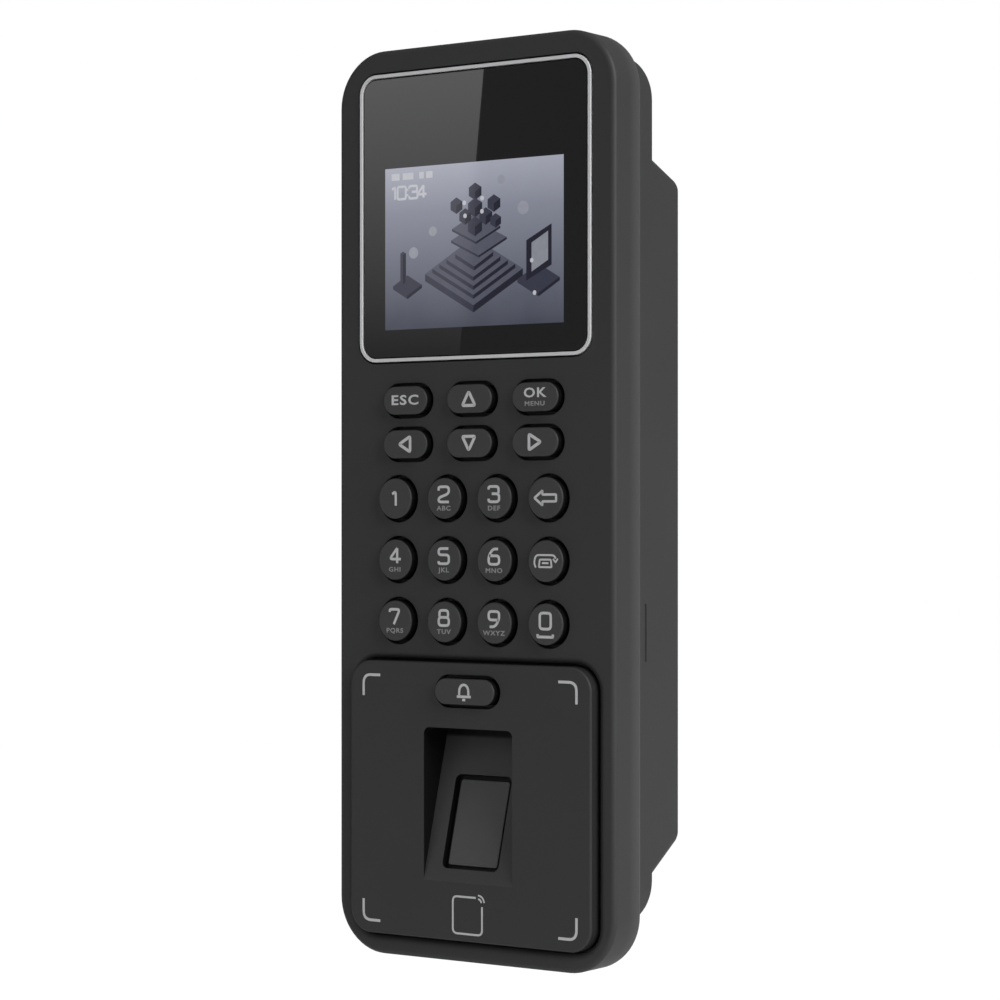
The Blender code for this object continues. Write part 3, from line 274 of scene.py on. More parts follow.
def lathe(name, profile, place, direction, sides=40):
    """A turned body: (distance, radius) pairs along a direction from a place."""
    bm = bmesh.new()
    turns = [2 * math.pi * i / sides for i in range(sides)]
    skin(bm, [[bm.verts.new((r * math.cos(t), r * math.sin(t), d)) for t in turns] for d, r in profile])
    bmesh.ops.transform(bm, matrix=Matrix.Translation(Vector(place)) @ upright(direction), verts=bm.verts)
    return as_object(name, bm)


def apply_modifiers(target):
    """Replaces an object's mesh with its evaluated one and removes the modifiers."""
    graph = bpy.context.evaluated_depsgraph_get()
    mesh = bpy.data.meshes.new_from_object(target.evaluated_get(graph))
    target.modifiers.clear()
    old = target.data
    target.data = mesh
    bpy.data.meshes.remove(old)


def carve(target, *cutters, operation="DIFFERENCE"):
    for cutter in cutters:
        modifier = target.modifiers.new(cutter.name, "BOOLEAN")
        modifier.operation = operation
        modifier.solver = "EXACT"
        modifier.object = cutter
    apply_modifiers(target)
    for cutter in cutters:
        bpy.data.objects.remove(cutter)
    return target


def weld(target, *others):
    return carve(target, *others, operation="UNION")


def smooth(target, bevel=0.0):
    """Smooth shading with crisp corners, and a fine bevel on sharp edges where one is asked for."""
    bm = bmesh.new()
    bm.from_mesh(target.data)
    bmesh.ops.remove_doubles(bm, verts=bm.verts, dist=NEAR)
    bmesh.ops.dissolve_degenerate(bm, edges=bm.edges, dist=NEAR)
    if bevel:
        bmesh.ops.dissolve_limit(bm, angle_limit=FLAT_ANGLE, verts=bm.verts, edges=bm.edges)
    bm.to_mesh(target.data)
    bm.free()
    if bevel:
        edge = target.modifiers.new("edge", "BEVEL")
        edge.width = bevel
        edge.segments = 2
        edge.limit_method = "ANGLE"
        edge.angle_limit = SMOOTH_ANGLE
        apply_modifiers(target)
    target.data.shade_smooth()
    target.data.set_sharp_from_angle(angle=SMOOTH_ANGLE)
    weighted = target.modifiers.new("weighted_normals", "WEIGHTED_NORMAL")
    weighted.keep_sharp = True
    apply_modifiers(target)
    return target


def settle(piece, looks, nodes, body=ROOT_BODY):
    """Gives a finished piece its materials and its body, and hides the CAD nodes it stands for."""
    if looks:
        indices = [polygon.material_index for polygon in piece.data.polygons]
        piece.data.materials.clear()
        for look in looks:
            piece.data.materials.append(finish(look))
        piece.data.polygons.foreach_set("material_index", [min(i, len(looks) - 1) for i in indices])
    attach(piece, body)
    if nodes:
        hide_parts(*nodes)


def outside(x, z, span, corner):
    """How far a point lies outside a box's outline with rounded corners; less than zero inside it."""
    over_x = abs(x - span.x) - span.width / 2 + corner
    over_z = abs(z - span.z) - span.height / 2 + corner
    return math.hypot(max(over_x, 0), max(over_z, 0)) + min(max(over_x, over_z), 0) - corner


def mark_sides(piece, index, steepest, where=None):
    """Gives the material index to faces that turn away from the front, where a test of (x, z) holds."""
    for polygon in piece.data.polygons:
        x, _, z = polygon.center
        if abs(polygon.normal.y) < steepest and (not where or where(x, z)):
            polygon.material_index = index
    return piece


def absorb(target, *others):
    """Adds other objects' meshes to the target's as separate bodies, each with its own material index."""
    bm = bmesh.new()
    bm.from_mesh(target.data)
    for index, other in enumerate(others, 1):
        start = len(bm.faces)
        bm.from_mesh(other.data)
        bm.faces.ensure_lookup_table()
        for face in bm.faces[start:]:
            face.material_index = index
        bpy.data.objects.remove(other)
    bm.to_mesh(target.data)
    bm.free()
    return target


def refined(node, bevel, name=None):
    """A merged copy of a CAD node, with its sharp edges finely bevelled."""
    return smooth(linked(name or node + "_piece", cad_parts[node].data.copy()), bevel)


# ---- shader expressions and finishes


class Value:
    """A shader socket that takes part in Python arithmetic."""

    def __init__(self, finish, socket):
        self.finish = finish
        self.socket = socket

    def math(self, operation, first, second):
        return self.finish.node("ShaderNodeMath", {"operation": operation}, {0: first, 1: second})

    def __add__(self, other):
        return self.math("ADD", self, other)

    def __mul__(self, other):
        return self.math("MULTIPLY", self, other)

    def __sub__(self, other):
        return self.math("SUBTRACT", self, other)

    def __rsub__(self, other):
        return self.math("SUBTRACT", other, self)

    def above(self, edge):
        return self.math("GREATER_THAN", self, edge)

    __radd__ = __add__
    __rmul__ = __mul__


def shade(colour, share):
    return [channel * share for channel in colour]


class Finish:
    """A procedural material: fixed values go on the shader's own sockets, and what varies is linked."""

    def __init__(self, name, colour, roughness, metallic=0.0, **fixed):
        self.material = bpy.data.materials.new(name)
        self.material.use_nodes = True
        self.tree = self.material.node_tree
        self.shader = self.tree.nodes["Principled BSDF"]
        self.set("Base Color", (*colour, 1.0))
        self.set("Roughness", roughness)
        self.set("Metallic", metallic)
        for socket, value in fixed.items():
            self.set(socket.replace("_", " ").title().replace("Ior", "IOR"), value)

    def put(self, value, socket):
        """Links a Value to a socket, or sets the socket to a plain one."""
        if isinstance(value, Value):
            self.tree.links.new(value.socket, socket)
        else:
            socket.default_value = value

    def set(self, socket, value):
        self.put(value, self.shader.inputs[socket])

    def node(self, kind, settings=None, inputs=None, output=0):
        """Any node, from its type, its settings, and the values or links of its sockets."""
        made = self.tree.nodes.new(kind)
        for name, value in (settings or {}).items():
            if name == "stops":
                ramp = made.color_ramp
                while len(ramp.elements) < len(value):
                    ramp.elements.new(0.5)
                for element, (place, colour) in zip(ramp.elements, value):
                    element.position = place
                    element.color = (*colour, 1.0)
            else:
                setattr(made, name, value)
        for name, value in (inputs or {}).items():
            self.put(value, made.inputs[name])
        return Value(self, made.outputs[output])

    def place(self):
        return self.node("ShaderNodeTexCoord", output="Object")

    def axis(self, name):
        """One of the object coordinates, in metres."""
        return self.node("ShaderNodeSeparateXYZ", inputs={"Vector": self.place()}, output=name)

    def clamp(self, value):
        return self.node("ShaderNodeClamp", inputs={"Value": value})

    def along(self, axis, start, length):
        """Rises from 0 at the start to 1 after the length, which may point backwards."""
        return self.clamp((self.axis(axis) - start) * (1 / length))

    def noise(self, size, detail=2.0, seed=0.0, stretch=(1.0, 1.0, 1.0)):
        """Noise with features of a size in metres, between 0 and 1."""
        mapping = {"Vector": self.place(), "Location": (seed, seed, seed), "Scale": stretch}
        place = self.node("ShaderNodeMapping", inputs=mapping)
        return self.node("ShaderNodeTexNoise", inputs={"Vector": place, "Scale": 1 / size, "Detail": detail})

    def cells(self, size, output):
        pattern = {"Vector": self.place(), "Scale": 1 / size}
        return self.node("ShaderNodeTexVoronoi", inputs=pattern, output=output)

    def blend(self, factor, first, second):
        """Mixes two colours."""
        a, b = (colour if isinstance(colour, Value) else (*colour[:3], 1.0) for colour in (first, second))
        return self.node("ShaderNodeMix", {"data_type": "RGBA"}, {"Factor": factor, 6: a, 7: b}, 2)

    def mottle(self, pattern, first, second):
        self.set("Base Color", self.blend(pattern, first, second))

    def tinted(self, base, amount, size, seed=0.0):
        """The base colour, a little lighter and darker in soft patches."""
        patches = self.noise(size, 3.0, seed)
        self.mottle(patches, shade(base, 1 - amount), shade(base, 1 + amount))
        return patches

    def bump(self, height, distance, strength):
        heights = {"Height": height, "Distance": distance, "Strength": strength}
        self.set("Normal", self.node("ShaderNodeBump", inputs=heights))

    def veil(self, other, share):
        """Covers the shader with another one, by a share between 0 and 1."""
        own = Value(self, self.shader.outputs[0])
        both = self.node("ShaderNodeMixShader", inputs={0: share, 1: own, 2: other})
        self.put(both, self.tree.nodes["Material Output"].inputs["Surface"])


FINISHES = {}


def finish(name):
    """Makes each finish once, the first time that a piece asks for it."""
    if name not in FINISHES:
        FINISHES[name] = FINISH_MAKERS[name]().material
    return FINISHES[name]


def moulded(name, colour, roughness, grain, depth=0.012 * MM, **fixed):
    """Black plastic from an eroded mould: a fine pebble grain and soft patches of sheen."""
    made = Finish(name, colour, roughness, **{"specular_ior_level": 0.34, **fixed})
    patches = made.tinted(colour, 0.06, 22 * MM)
    pebbles = made.noise(grain, 3.0)
    pits = made.noise(grain * 0.45, 1.0, seed=3.0)
    made.set("Roughness", patches * 0.07 + pebbles * 0.10 + (roughness - 0.085))
    made.bump(pebbles * 0.7 + pits * 0.3, depth, 0.35)
    return made


def shaded_edge(name, colour, roughness, node, fall, painted_shade=1.0):
    """The sides of a coated face, darkened with painted shade: past the edge the colour falls off to nearly
    black, standing in for the shade in gaps and openings.
    """
    made = moulded(name, colour, roughness, sizes().grain, specular_ior_level=0.2)
    past = made.along("Y", Span(node).front, fall)
    coat = made.blend(made.noise(6 * MM), colour, shade(colour, 1.04))
    # Painted shade: past the edge the colour turns nearly black.
    made.mottle(past, coat, shade(colours().painted_shade, painted_shade))
    return made


def cover_edge(name, node, fall, painted_shade):
    return shaded_edge(name, colours().cover, 0.5, node, fall, painted_shade)


def cover_plastic(name, share, roughness, grain, depth, highlight_reach, highlight_gain, **fixed):
    """A cover's moulded plastic, with a painted highlight: lighter over the few millimetres next to the seam
    between the two covers.
    """
    colour = shade(colours().cover, share)
    made = moulded(name, colour, roughness, sizes().grain * grain, depth, **fixed)
    from_seam = made.axis("Y") - Span("front_cover").back
    away = made.node("ShaderNodeMath", {"operation": "ABSOLUTE"}, {0: from_seam})
    coat = made.blend(made.noise(22 * MM, 3.0), shade(colour, 0.94), shade(colour, 1.06))
    # Painted highlight: lighter next to the seam, fading out over its reach.
    made.mottle(made.clamp(1 - away * (1 / highlight_reach)), coat, shade(colour, highlight_gain))
    return made


def ramp_plastic():
    """The finger ramp, with painted light and shade: paler with depth, and painted shade, nearly black, under
    the recess's upper lip.
    """
    colour, panel = colours().cover, Panel()
    made = moulded("ramp_plastic", colour, 0.50, sizes().grain)
    face = made.blend(made.noise(22 * MM), colour, shade(colour, 1.1))
    # Painted light: paler towards the deep end of the ramp.
    coat = made.blend(made.along("Y", panel.face, 7 * MM), face, shade(colour, 1.5))
    # Painted shade: nearly black just under the recess's upper lip.
    made.mottle(made.along("Z", panel.recess_top - 2.0 * MM, -0.7 * MM), colours().painted_shade, coat)
    return made


def patchy(name, colour, roughness, tint, grain=None, gloss=None, **fixed):
    """One colour in soft patches, with a fine grain and an uneven gloss where they are given."""
    made = Finish(name, colour, roughness, **fixed)
    made.tinted(colour, *tint)
    if gloss:
        size, detail, spread, base = gloss
        made.set("Roughness", made.noise(size, detail) * spread + base)
    if grain:
        size, detail, depth, strength = grain
        made.bump(made.noise(size, detail), depth, strength)
    return made


def smoked_glass():
    """Black-backed cover glass with the faintest of smears."""
    made = Finish("smoked_glass", (0.006, 0.006, 0.0065), 0.01, specular_ior_level=0.5)
    smears = made.noise(18 * MM, 4.0, stretch=(1.0, 1.0, 0.4))
    made.set("Roughness", smears * 0.01 + 0.003)
    return made


def picture_background():
    """The lit display: a bluish grey that darkens towards its foot, with a faint haze."""
    _, foot, _, height = picture_area()
    made = Finish("picture_background", (0.01, 0.01, 0.012), 0.05, emission_strength=1.0)
    stops = [(0.0, colours().picture_foot), (0.42, (0.125, 0.135, 0.175)), (0.72, (0.21, 0.22, 0.275)),
             (1.0, colours().picture_top)]
    glow = made.node("ShaderNodeValToRGB", {"stops": stops}, {"Fac": made.along("Z", foot, height)})
    made.set("Emission Color", made.blend(made.noise(11 * MM) * 0.25, glow, (0.19, 0.20, 0.25)))
    return made


def lit(name, colour):
    """A part of the lit picture."""
    made = Finish(name, (0.008, 0.008, 0.01), 0.05, emission_strength=1.0)
    made.set("Emission Color", made.blend(made.noise(1.6 * MM, 1.0), shade(colour, 0.8), colour))
    return made


def circuit_board():
    """Green solder mask over copper: pads of lighter tracks on a regular grid, and a faint weave."""
    made = Finish("circuit_board", (0.012, 0.09, 0.04), 0.35, coat_weight=0.3)
    rows = made.node("ShaderNodeVectorMath", {"operation": "MULTIPLY"}, {0: made.place(), 1: (1.0, 0.0, 0.0)})
    tracks = made.node(
        "ShaderNodeTexBrick", {"offset": 0.37, "squash": 1.0},
        {"Vector": rows, "Scale": 1.0 / (2.2 * MM), "Mortar Size": 0.06}, 1,
    )
    runs = made.noise(3.0 * MM, 0.0, stretch=(1.0, 0.1, 0.25)).above(0.56)
    made.mottle(runs * 0.8 + tracks * 0.1, (0.010, 0.075, 0.034), (0.015, 0.105, 0.046))
    made.bump(runs, 0.03 * MM, 0.5)
    return made


def tinned_metal():
    made = Finish("tinned_metal", (0.55, 0.55, 0.54), 0.32, 0.95)
    brushed = made.noise(0.25 * MM, 3.0, stretch=(0.08, 1.0, 1.0))
    made.set("Roughness", brushed * 0.25 + 0.2)
    made.mottle(made.noise(6 * MM), (0.48, 0.48, 0.47), (0.62, 0.62, 0.61))
    made.bump(brushed, 0.006 * MM, 0.3)
    return made


def zinc_plate():
    """Galvanised sheet: crystal spangles that differ in tone and gloss, with light scuffs."""
    made = Finish("zinc_plate", (0.45, 0.46, 0.47), 0.38, 0.9)
    spangle = made.node("ShaderNodeRGBToBW", inputs={"Color": made.cells(3.2 * MM, "Color")})
    scuffs = made.noise(0.5 * MM, 4.0, stretch=(1.0, 1.0, 0.12)).above(0.66)
    made.mottle(spangle, (0.43, 0.44, 0.45), (0.52, 0.53, 0.54))
    made.set("Roughness", spangle * 0.10 + scuffs * 0.12 + 0.34)
    made.bump(spangle, 0.02 * MM, 0.15)
    return made


def screw_metal():
    made = Finish("screw_metal", (0.30, 0.30, 0.31), 0.3, 0.95)
    wear = made.noise(0.6 * MM, 4.0)
    made.mottle(wear, (0.22, 0.22, 0.23), (0.4, 0.4, 0.41))
    made.set("Roughness", wear * 0.2 + 0.22)
    return made


def foam():
    made = Finish("foam", (0.015, 0.015, 0.015), 0.9)
    pores = made.cells(0.4 * MM, "Distance")
    made.mottle(pores, (0.008, 0.008, 0.008), (0.03, 0.03, 0.03))
    made.bump(pores, 0.08 * MM, 0.6)
    return made


def amber_film():
    """Polyimide film over copper conductors that run along it."""
    made = Finish("amber_film", (0.33, 0.16, 0.04), 0.3, coat_weight=0.4)
    stripes = made.node(
        "ShaderNodeTexWave", {"wave_type": "BANDS", "bands_direction": "X"},
        {"Vector": made.place(), "Scale": 1.0 / (20 * MM), "Distortion": 0.0}, 1,
    )
    made.mottle(stripes, (0.22, 0.10, 0.025), (0.45, 0.22, 0.07))
    made.bump(stripes, 0.02 * MM, 0.4)
    return made


# The finishes by what they are asked for as; a few hold no more than their numbers.
FINISH_MAKERS = {
    # Both covers carry a painted highlight next to their seam; the two numbers after the grain's depth are its
    # reach and how much lighter it is.
    "cover": lambda: cover_plastic(
        "cover_plastic", 1.0, 0.50, 1.0, 0.012 * MM, 5.6 * MM, 1.9, specular_ior_level=0.22
    ),
    "rear": lambda: cover_plastic("rear_plastic", 0.86, 0.56, 1.4, 0.02 * MM, 4.2 * MM, 1.3),
    # The opening, panel_edge, recess, key_edge and bell_edge finishes darken the sides of openings and keys
    # with painted shade.
    "opening": lambda: cover_edge("opening_plastic", "front_cover", 2.2 * MM, 8.0),
    "panel_edge": lambda: cover_edge("panel_edge_plastic", "reader_panel", 0.6 * MM, 7.0),
    "recess": lambda: cover_edge("recess_plastic", "reader_panel", 0.3 * MM, 0.8),
    "ramp": ramp_plastic,
    "key": lambda: moulded("key_plastic", colours().key, 0.46, sizes().grain * 0.8, 0.008 * MM),
    # Painted shade on the keys' sides.
    "key_edge": lambda: shaded_edge("key_edge_plastic", colours().key, 0.46, "key_5", 0.6 * MM),
    "bell_edge": lambda: shaded_edge("bell_edge_plastic", colours().key, 0.46, "key_bell", 0.6 * MM),
    "inner": lambda: moulded("inner_plastic", (0.018, 0.018, 0.019), 0.6, 0.5 * MM),
    "ink": lambda: patchy(
        "legend_ink", colours().ink, 0.55, (0.12, 1.2 * MM), (0.12 * MM, 2.0, 0.01 * MM, 0.4)
    ),
    # The small letters are printed with less ink, so that they show greyer.
    "faint_ink": lambda: patchy("faint_ink", shade(colours().ink, 0.5), 0.6, (0.2, 0.8 * MM, 5.0)),
    # Silver paint over plastic: fine metal flake under a satin coat.
    "trim": lambda: patchy(
        "satin_trim", colours().trim, 0.5, (0.08, 0.15 * MM), gloss=(0.2 * MM, 2.0, 0.12, 0.42),
        metallic=0.1, coat_weight=0.25, coat_roughness=0.4,
    ),
    # The finger window: dark grey, etched, with a fine tooth.
    "frosted_glass": lambda: patchy(
        "frosted_glass", (0.052, 0.052, 0.054), 0.34, (0.08, 4 * MM), (0.09 * MM, 2.0, 0.004 * MM, 0.3),
        (1.5 * MM, 4.0, 0.12, 0.30), specular_ior_level=0.6, coat_weight=0.15,
    ),
    "gold": lambda: patchy("gold_contact", (0.75, 0.52, 0.2), 0.25, (0.1, 0.4 * MM), metallic=1.0),
    "nylon": lambda: patchy(
        "nylon", (0.68, 0.66, 0.6), 0.5, (0.04, 3 * MM), (0.3 * MM, 2.0, 0.01 * MM, 0.3),
        subsurface_weight=0.05,
    ),
    "silicone": lambda: patchy(
        "silicone_rubber", (0.07, 0.07, 0.075), 0.65, (0.1, 8 * MM), (0.2 * MM, 2.0, 0.01 * MM, 0.4)
    ),
    "seal": lambda: patchy(
        "seal_rubber", (0.02, 0.02, 0.02), 0.75, (0.2, 5 * MM), (0.15 * MM, 3.0, 0.02 * MM, 0.5)
    ),
    "smoked_glass": smoked_glass, "board": circuit_board, "tinned": tinned_metal, "zinc": zinc_plate,
    "screw": screw_metal, "foam": foam, "film": amber_film, "picture": picture_background,
    "picture_pale": lambda: lit("picture_pale", (0.24, 0.25, 0.29)),
    "picture_light": lambda: lit("picture_light", (0.078, 0.082, 0.115)),
    "picture_middle": lambda: lit("picture_middle", (0.028, 0.030, 0.052)),
    "picture_dark": lambda: lit("picture_dark", (0.004, 0.005, 0.016)),
    "picture_white": lambda: lit("picture_white", (0.50, 0.51, 0.55)),
    "picture_halo": lambda: lit("picture_halo", (0.28, 0.29, 0.34)),
}


# ---- printed lines, figures and words


def rounded_path(points, radius, closed=False, steps=4):
    """The path with each corner eased by a short curve."""
    points = [Vector(p) for p in points]
    eased = []
    count = len(points)
    for i, corner in enumerate(points):
        if not closed and i in (0, count - 1):
            eased.append(corner)
            continue
        to_before = points[i - 1] - corner
        to_after = points[(i + 1) % count] - corner
        start = corner + to_before.normalized() * min(radius, to_before.length * 0.49)
        stop = corner + to_after.normalized() * min(radius, to_after.length * 0.49)
        for step in range(steps + 1):
            t = step / steps
            eased.append(start * (1 - t) ** 2 + corner * 2 * t * (1 - t) + stop * t * t)
    return eased


def add_line(bm, path, width, face, closed=False, height=INK_HEIGHT):
    """A printed line of even width along (x, z) points, just proud of a face at a Y place."""
    sides = []
    count = len(path)
    for i, point in enumerate(path):
        before = path[i - 1] if closed or i else point
        after = path[(i + 1) % count] if closed or i < count - 1 else point
        into = (point - before).normalized()
        out = (after - point).normalized()
        along = (into + out).normalized() if (into + out).length > 1e-9 else out
        miter = 1 / max(0.5, along.dot(out if out.length else into))
        side = Vector((-along.y, along.x)) * width / 2 * miter
        sides.append((point + side, point - side))
    layers = []
    for y in (face - height, face + INK_SUNK):
        layers.append([[bm.verts.new((p.x, y, p.y)) for p in pair] for pair in sides])
    top, base = layers
    for i in range(count if closed else count - 1):
        j = (i + 1) % count
        bm.faces.new((top[i][0], top[j][0], top[j][1], top[i][1]))
        bm.faces.new((base[i][1], base[j][1], base[j][0], base[i][0]))
        bm.faces.new((top[i][0], base[i][0], base[j][0], top[j][0]))
        bm.faces.new((top[j][1], base[j][1], base[i][1], top[i][1]))
    if not closed:
        for end in (0, -1):
            bm.faces.new((top[end][0], top[end][1], base[end][1], base[end][0]))


# Figures as lines in a box 1 wide and 1.3 high: each line is its points and whether it closes on itself.
FIGURES = {
    "0": [([(0, 0), (1, 0), (1, 1.3), (0, 1.3)], True)],
    "1": [([(0.22, 1.08), (0.6, 1.3), (0.6, 0)], False)],
    "2": [([(0, 0.98), (0, 1.3), (1, 1.3), (1, 0.72), (0, 0.36), (0, 0), (1, 0)], False)],
    "3": [([(0, 1.04), (0, 1.3), (0.95, 1.3), (0.95, 0.74)], False),
          ([(0.3, 0.68), (1, 0.68), (1, 0), (0, 0), (0, 0.26)], False)],
    "4": [([(0.74, 1.3), (0, 0.36), (1.1, 0.36)], False), ([(0.74, 0), (0.74, 1.3)], False)],
    "5": [([(0.95, 1.3), (0, 1.3), (0, 0.76), (1, 0.76), (1, 0), (0, 0), (0, 0.22)], False)],
    "6": [([(0.9, 1.3), (0.4, 1.3), (0, 0.7), (0, 0), (1, 0), (1, 0.72), (0.05, 0.72)], False)],
    "7": [([(0, 1.05), (0, 1.3), (1, 1.3), (0.4, 0)], False)],
    "8": [([(0.08, 0.76), (0.08, 1.3), (0.92, 1.3), (0.92, 0.76)], False),
          ([(0, 0), (1, 0), (1, 0.7), (0, 0.7)], True)],
    "9": [([(0.1, 0), (0.6, 0), (1, 0.6), (1, 1.3), (0, 1.3), (0, 0.58), (0.95, 0.58)], False)],
}
FIGURE_HEIGHT = 1.3


def add_figure(bm, figure, x, z, size, line, face, corner=0.3):
    """Draws a figure centred at (x, z); size is its height."""
    scale = size / FIGURE_HEIGHT
    for layer, (points, closed) in enumerate(FIGURES[figure]):
        placed = [(x + (px - 0.5) * scale * 1.08, z + (pz - FIGURE_HEIGHT / 2) * scale) for px, pz in points]
        path = rounded_path(placed, corner * scale, closed)
        add_line(bm, path, line, face, closed, INK_HEIGHT * (1 - 0.2 * layer))


CAPITALS = 0.72  # height of the font's capitals, as a share of its size


def word(text, x, z, size, face, stretch=1.0):
    """A short printed word, centred at (x, z); size is the height of its capitals."""
    curve = bpy.data.curves.new("word", "FONT")
    curve.body = text
    curve.align_x = "CENTER"
    curve.align_y = "CENTER"
    curve.size = size / CAPITALS
    curve.space_character = 1.15
    curve.offset = size * 0.03
    curve.extrude = (INK_HEIGHT + INK_SUNK) / 2
    curve.resolution_u = 3
    holder = linked("word", curve)
    graph = bpy.context.evaluated_depsgraph_get()
    mesh = bpy.data.meshes.new_from_object(holder.evaluated_get(graph))
    bpy.data.objects.remove(holder)
    stand = Matrix.Rotation(math.pi / 2, 4, "X") @ Matrix.Diagonal((stretch, 1, 1, 1))
    mesh.transform(Matrix.Translation((x, face + (INK_SUNK - INK_HEIGHT) / 2, z)) @ stand)
    return linked("word_" + text, mesh)


# ---- fine sizes that the pieces share

CLEARANCE = 0.3 * MM
FRONT_WALL = 2.5 * MM
SIDE_WALL = 2.0 * MM
TRIM_CORNER = 4.6 * MM
TRIM_BAND = 0.92 * MM
TRIM_INSET = 0.15 * MM
TRIM_ROUND = 0.1 * MM
TRIM_FLARE = 0.08 * MM
GLASS_EDGE = 0.12 * MM
WINDOW_SEAT = 1.6 * MM
GASKET_MARGIN = 2.8 * MM
VIEW_MARGIN = 1.0 * MM
ROUND_LAP = 1.7 * MM
OVAL_LAP = 1.4 * MM
FLANGE_THICK = 0.8 * MM
KEY_POST = 1.4 * MM
BELL_POST = 1.0 * MM
POST_RADIUS = 2.0 * MM
CASE_BOSS_RADIUS = 2.5 * MM
CASE_PILOT_RADIUS = 1.55 * MM
PANEL_FLANGE = 2.0 * MM
PANEL_FLANGE_THICK = 1.2 * MM
PANEL_CORNER = 5.5 * MM
PANEL_GAP = 0.32 * MM
PANEL_MOUTH = 1.8 * MM
PANEL_WALL = 2.2 * MM
PANEL_SIDE = 1.5 * MM
PANEL_EDGE = 0.5 * MM
RECESS_WIDTH = 24.3 * MM
RECESS_LENGTH = 34.4 * MM
RECESS_DEPTH = 9.6 * MM
RECESS_DROP = 14.6 * MM
RECESS_SHELL = 1.6 * MM
RECESS_CORNER = 1.5 * MM
RAMP_SLOPE = RECESS_DEPTH / RECESS_LENGTH
RAMP_ANGLE = math.atan(RAMP_SLOPE)
SENSOR_GAP = 1.0 * MM
REAR_WALL = 2.0 * MM
REAR_CORNER = 9.5 * MM
REAR_ROUND = 1.2 * MM
BOX_CORNER = 3.0 * MM
BOX_ROUND = 1.0 * MM
SCREW_CLEARANCE = 0.4 * MM
STEEP = 0.95  # a face is a side where its normal leans from the front by more than this cosine
RAMP_STEEP = 0.98  # and belongs to the finger ramp where it lies between the two


def picture_area():
    """Left, foot, width and height of the lit display, which the gasket surrounds."""
    gasket = Span("lcd_gasket")
    return (
        gasket.left + GASKET_MARGIN, gasket.foot + GASKET_MARGIN,
        gasket.width - 2 * GASKET_MARGIN, gasket.height - 2 * GASKET_MARGIN,
    )


def slab(name, width, low, high, radius, front, back, **more):
    return loft(name, slab_loops(width, low, high, radius, front, back, **more))


def disc_loops(radius, x, z, front, back, steps=6):
    return slab_loops(2 * radius, z - radius, z + radius, radius, front, back, x=x, steps=steps)


CASE_SCREWS = [f"case_screw_{number}" for number in range(1, 5)]
BOARD_SCREWS = [f"board_screw_{number}" for number in range(1, 5)]


def spans(nodes):
    return [Span(node) for node in nodes]


KEY_ROWS = (
    ("key_esc", "key_up", "key_ok"),
    ("key_left", "key_down", "key_right"),
    ("key_1", "key_2", "key_3", "key_back"),
    ("key_4", "key_5", "key_6", "key_input"),
    ("key_7", "key_8", "key_9", "key_0"),
)


class Cap:
    """A key's cap, inside the flange that the key's box measures."""

    def __init__(self, node):
        box = Span(node)
        round_cap = abs(box.width - box.height) < MM
        lap = ROUND_LAP if round_cap else OVAL_LAP
        self.x = box.x
        self.z = box.z
        self.width = box.width - 2 * lap
        self.height = box.height - 2 * lap
        self.front = box.front + (INK_HEIGHT if node == "key_bell" else 0.0)
        self.back = box.back
        self.post = BELL_POST if node == "key_bell" else KEY_POST
        self.flange_front = box.back - self.post - FLANGE_THICK
        self.grow = lap

    def outline(self, grow=0.0, steps=SMALL_STEPS):
        half = self.height / 2 + grow
        return outline(self.width + 2 * grow, self.z - half, self.z + half, half, self.x, steps)

    def hole(self, face, back, flare):
        half = self.height / 2 + sizes().key_gap
        return flared_loops(
            self.width + 2 * sizes().key_gap, self.z - half, self.z + half, half, face, back, flare, self.x
        )


class Panel:
    """The reader panel's raised part, inside the flange that its box measures."""

    def __init__(self):
        box = Span("reader_panel")
        self.width = box.width - 2 * PANEL_FLANGE
        self.foot = box.foot + PANEL_FLANGE
        self.top = box.top - PANEL_FLANGE
        self.face = box.front
        self.back = box.front + PANEL_WALL
        self.flange_front = Span("front_cover").front + FRONT_WALL + CLEARANCE
        self.recess_top = self.top - RECESS_DROP
        self.recess_foot = self.recess_top - RECESS_LENGTH

    def ramp(self, z):
        """Y place of the finger ramp at a height."""
        return self.face + (z - self.recess_foot) * RAMP_SLOPE


# ---- front cover


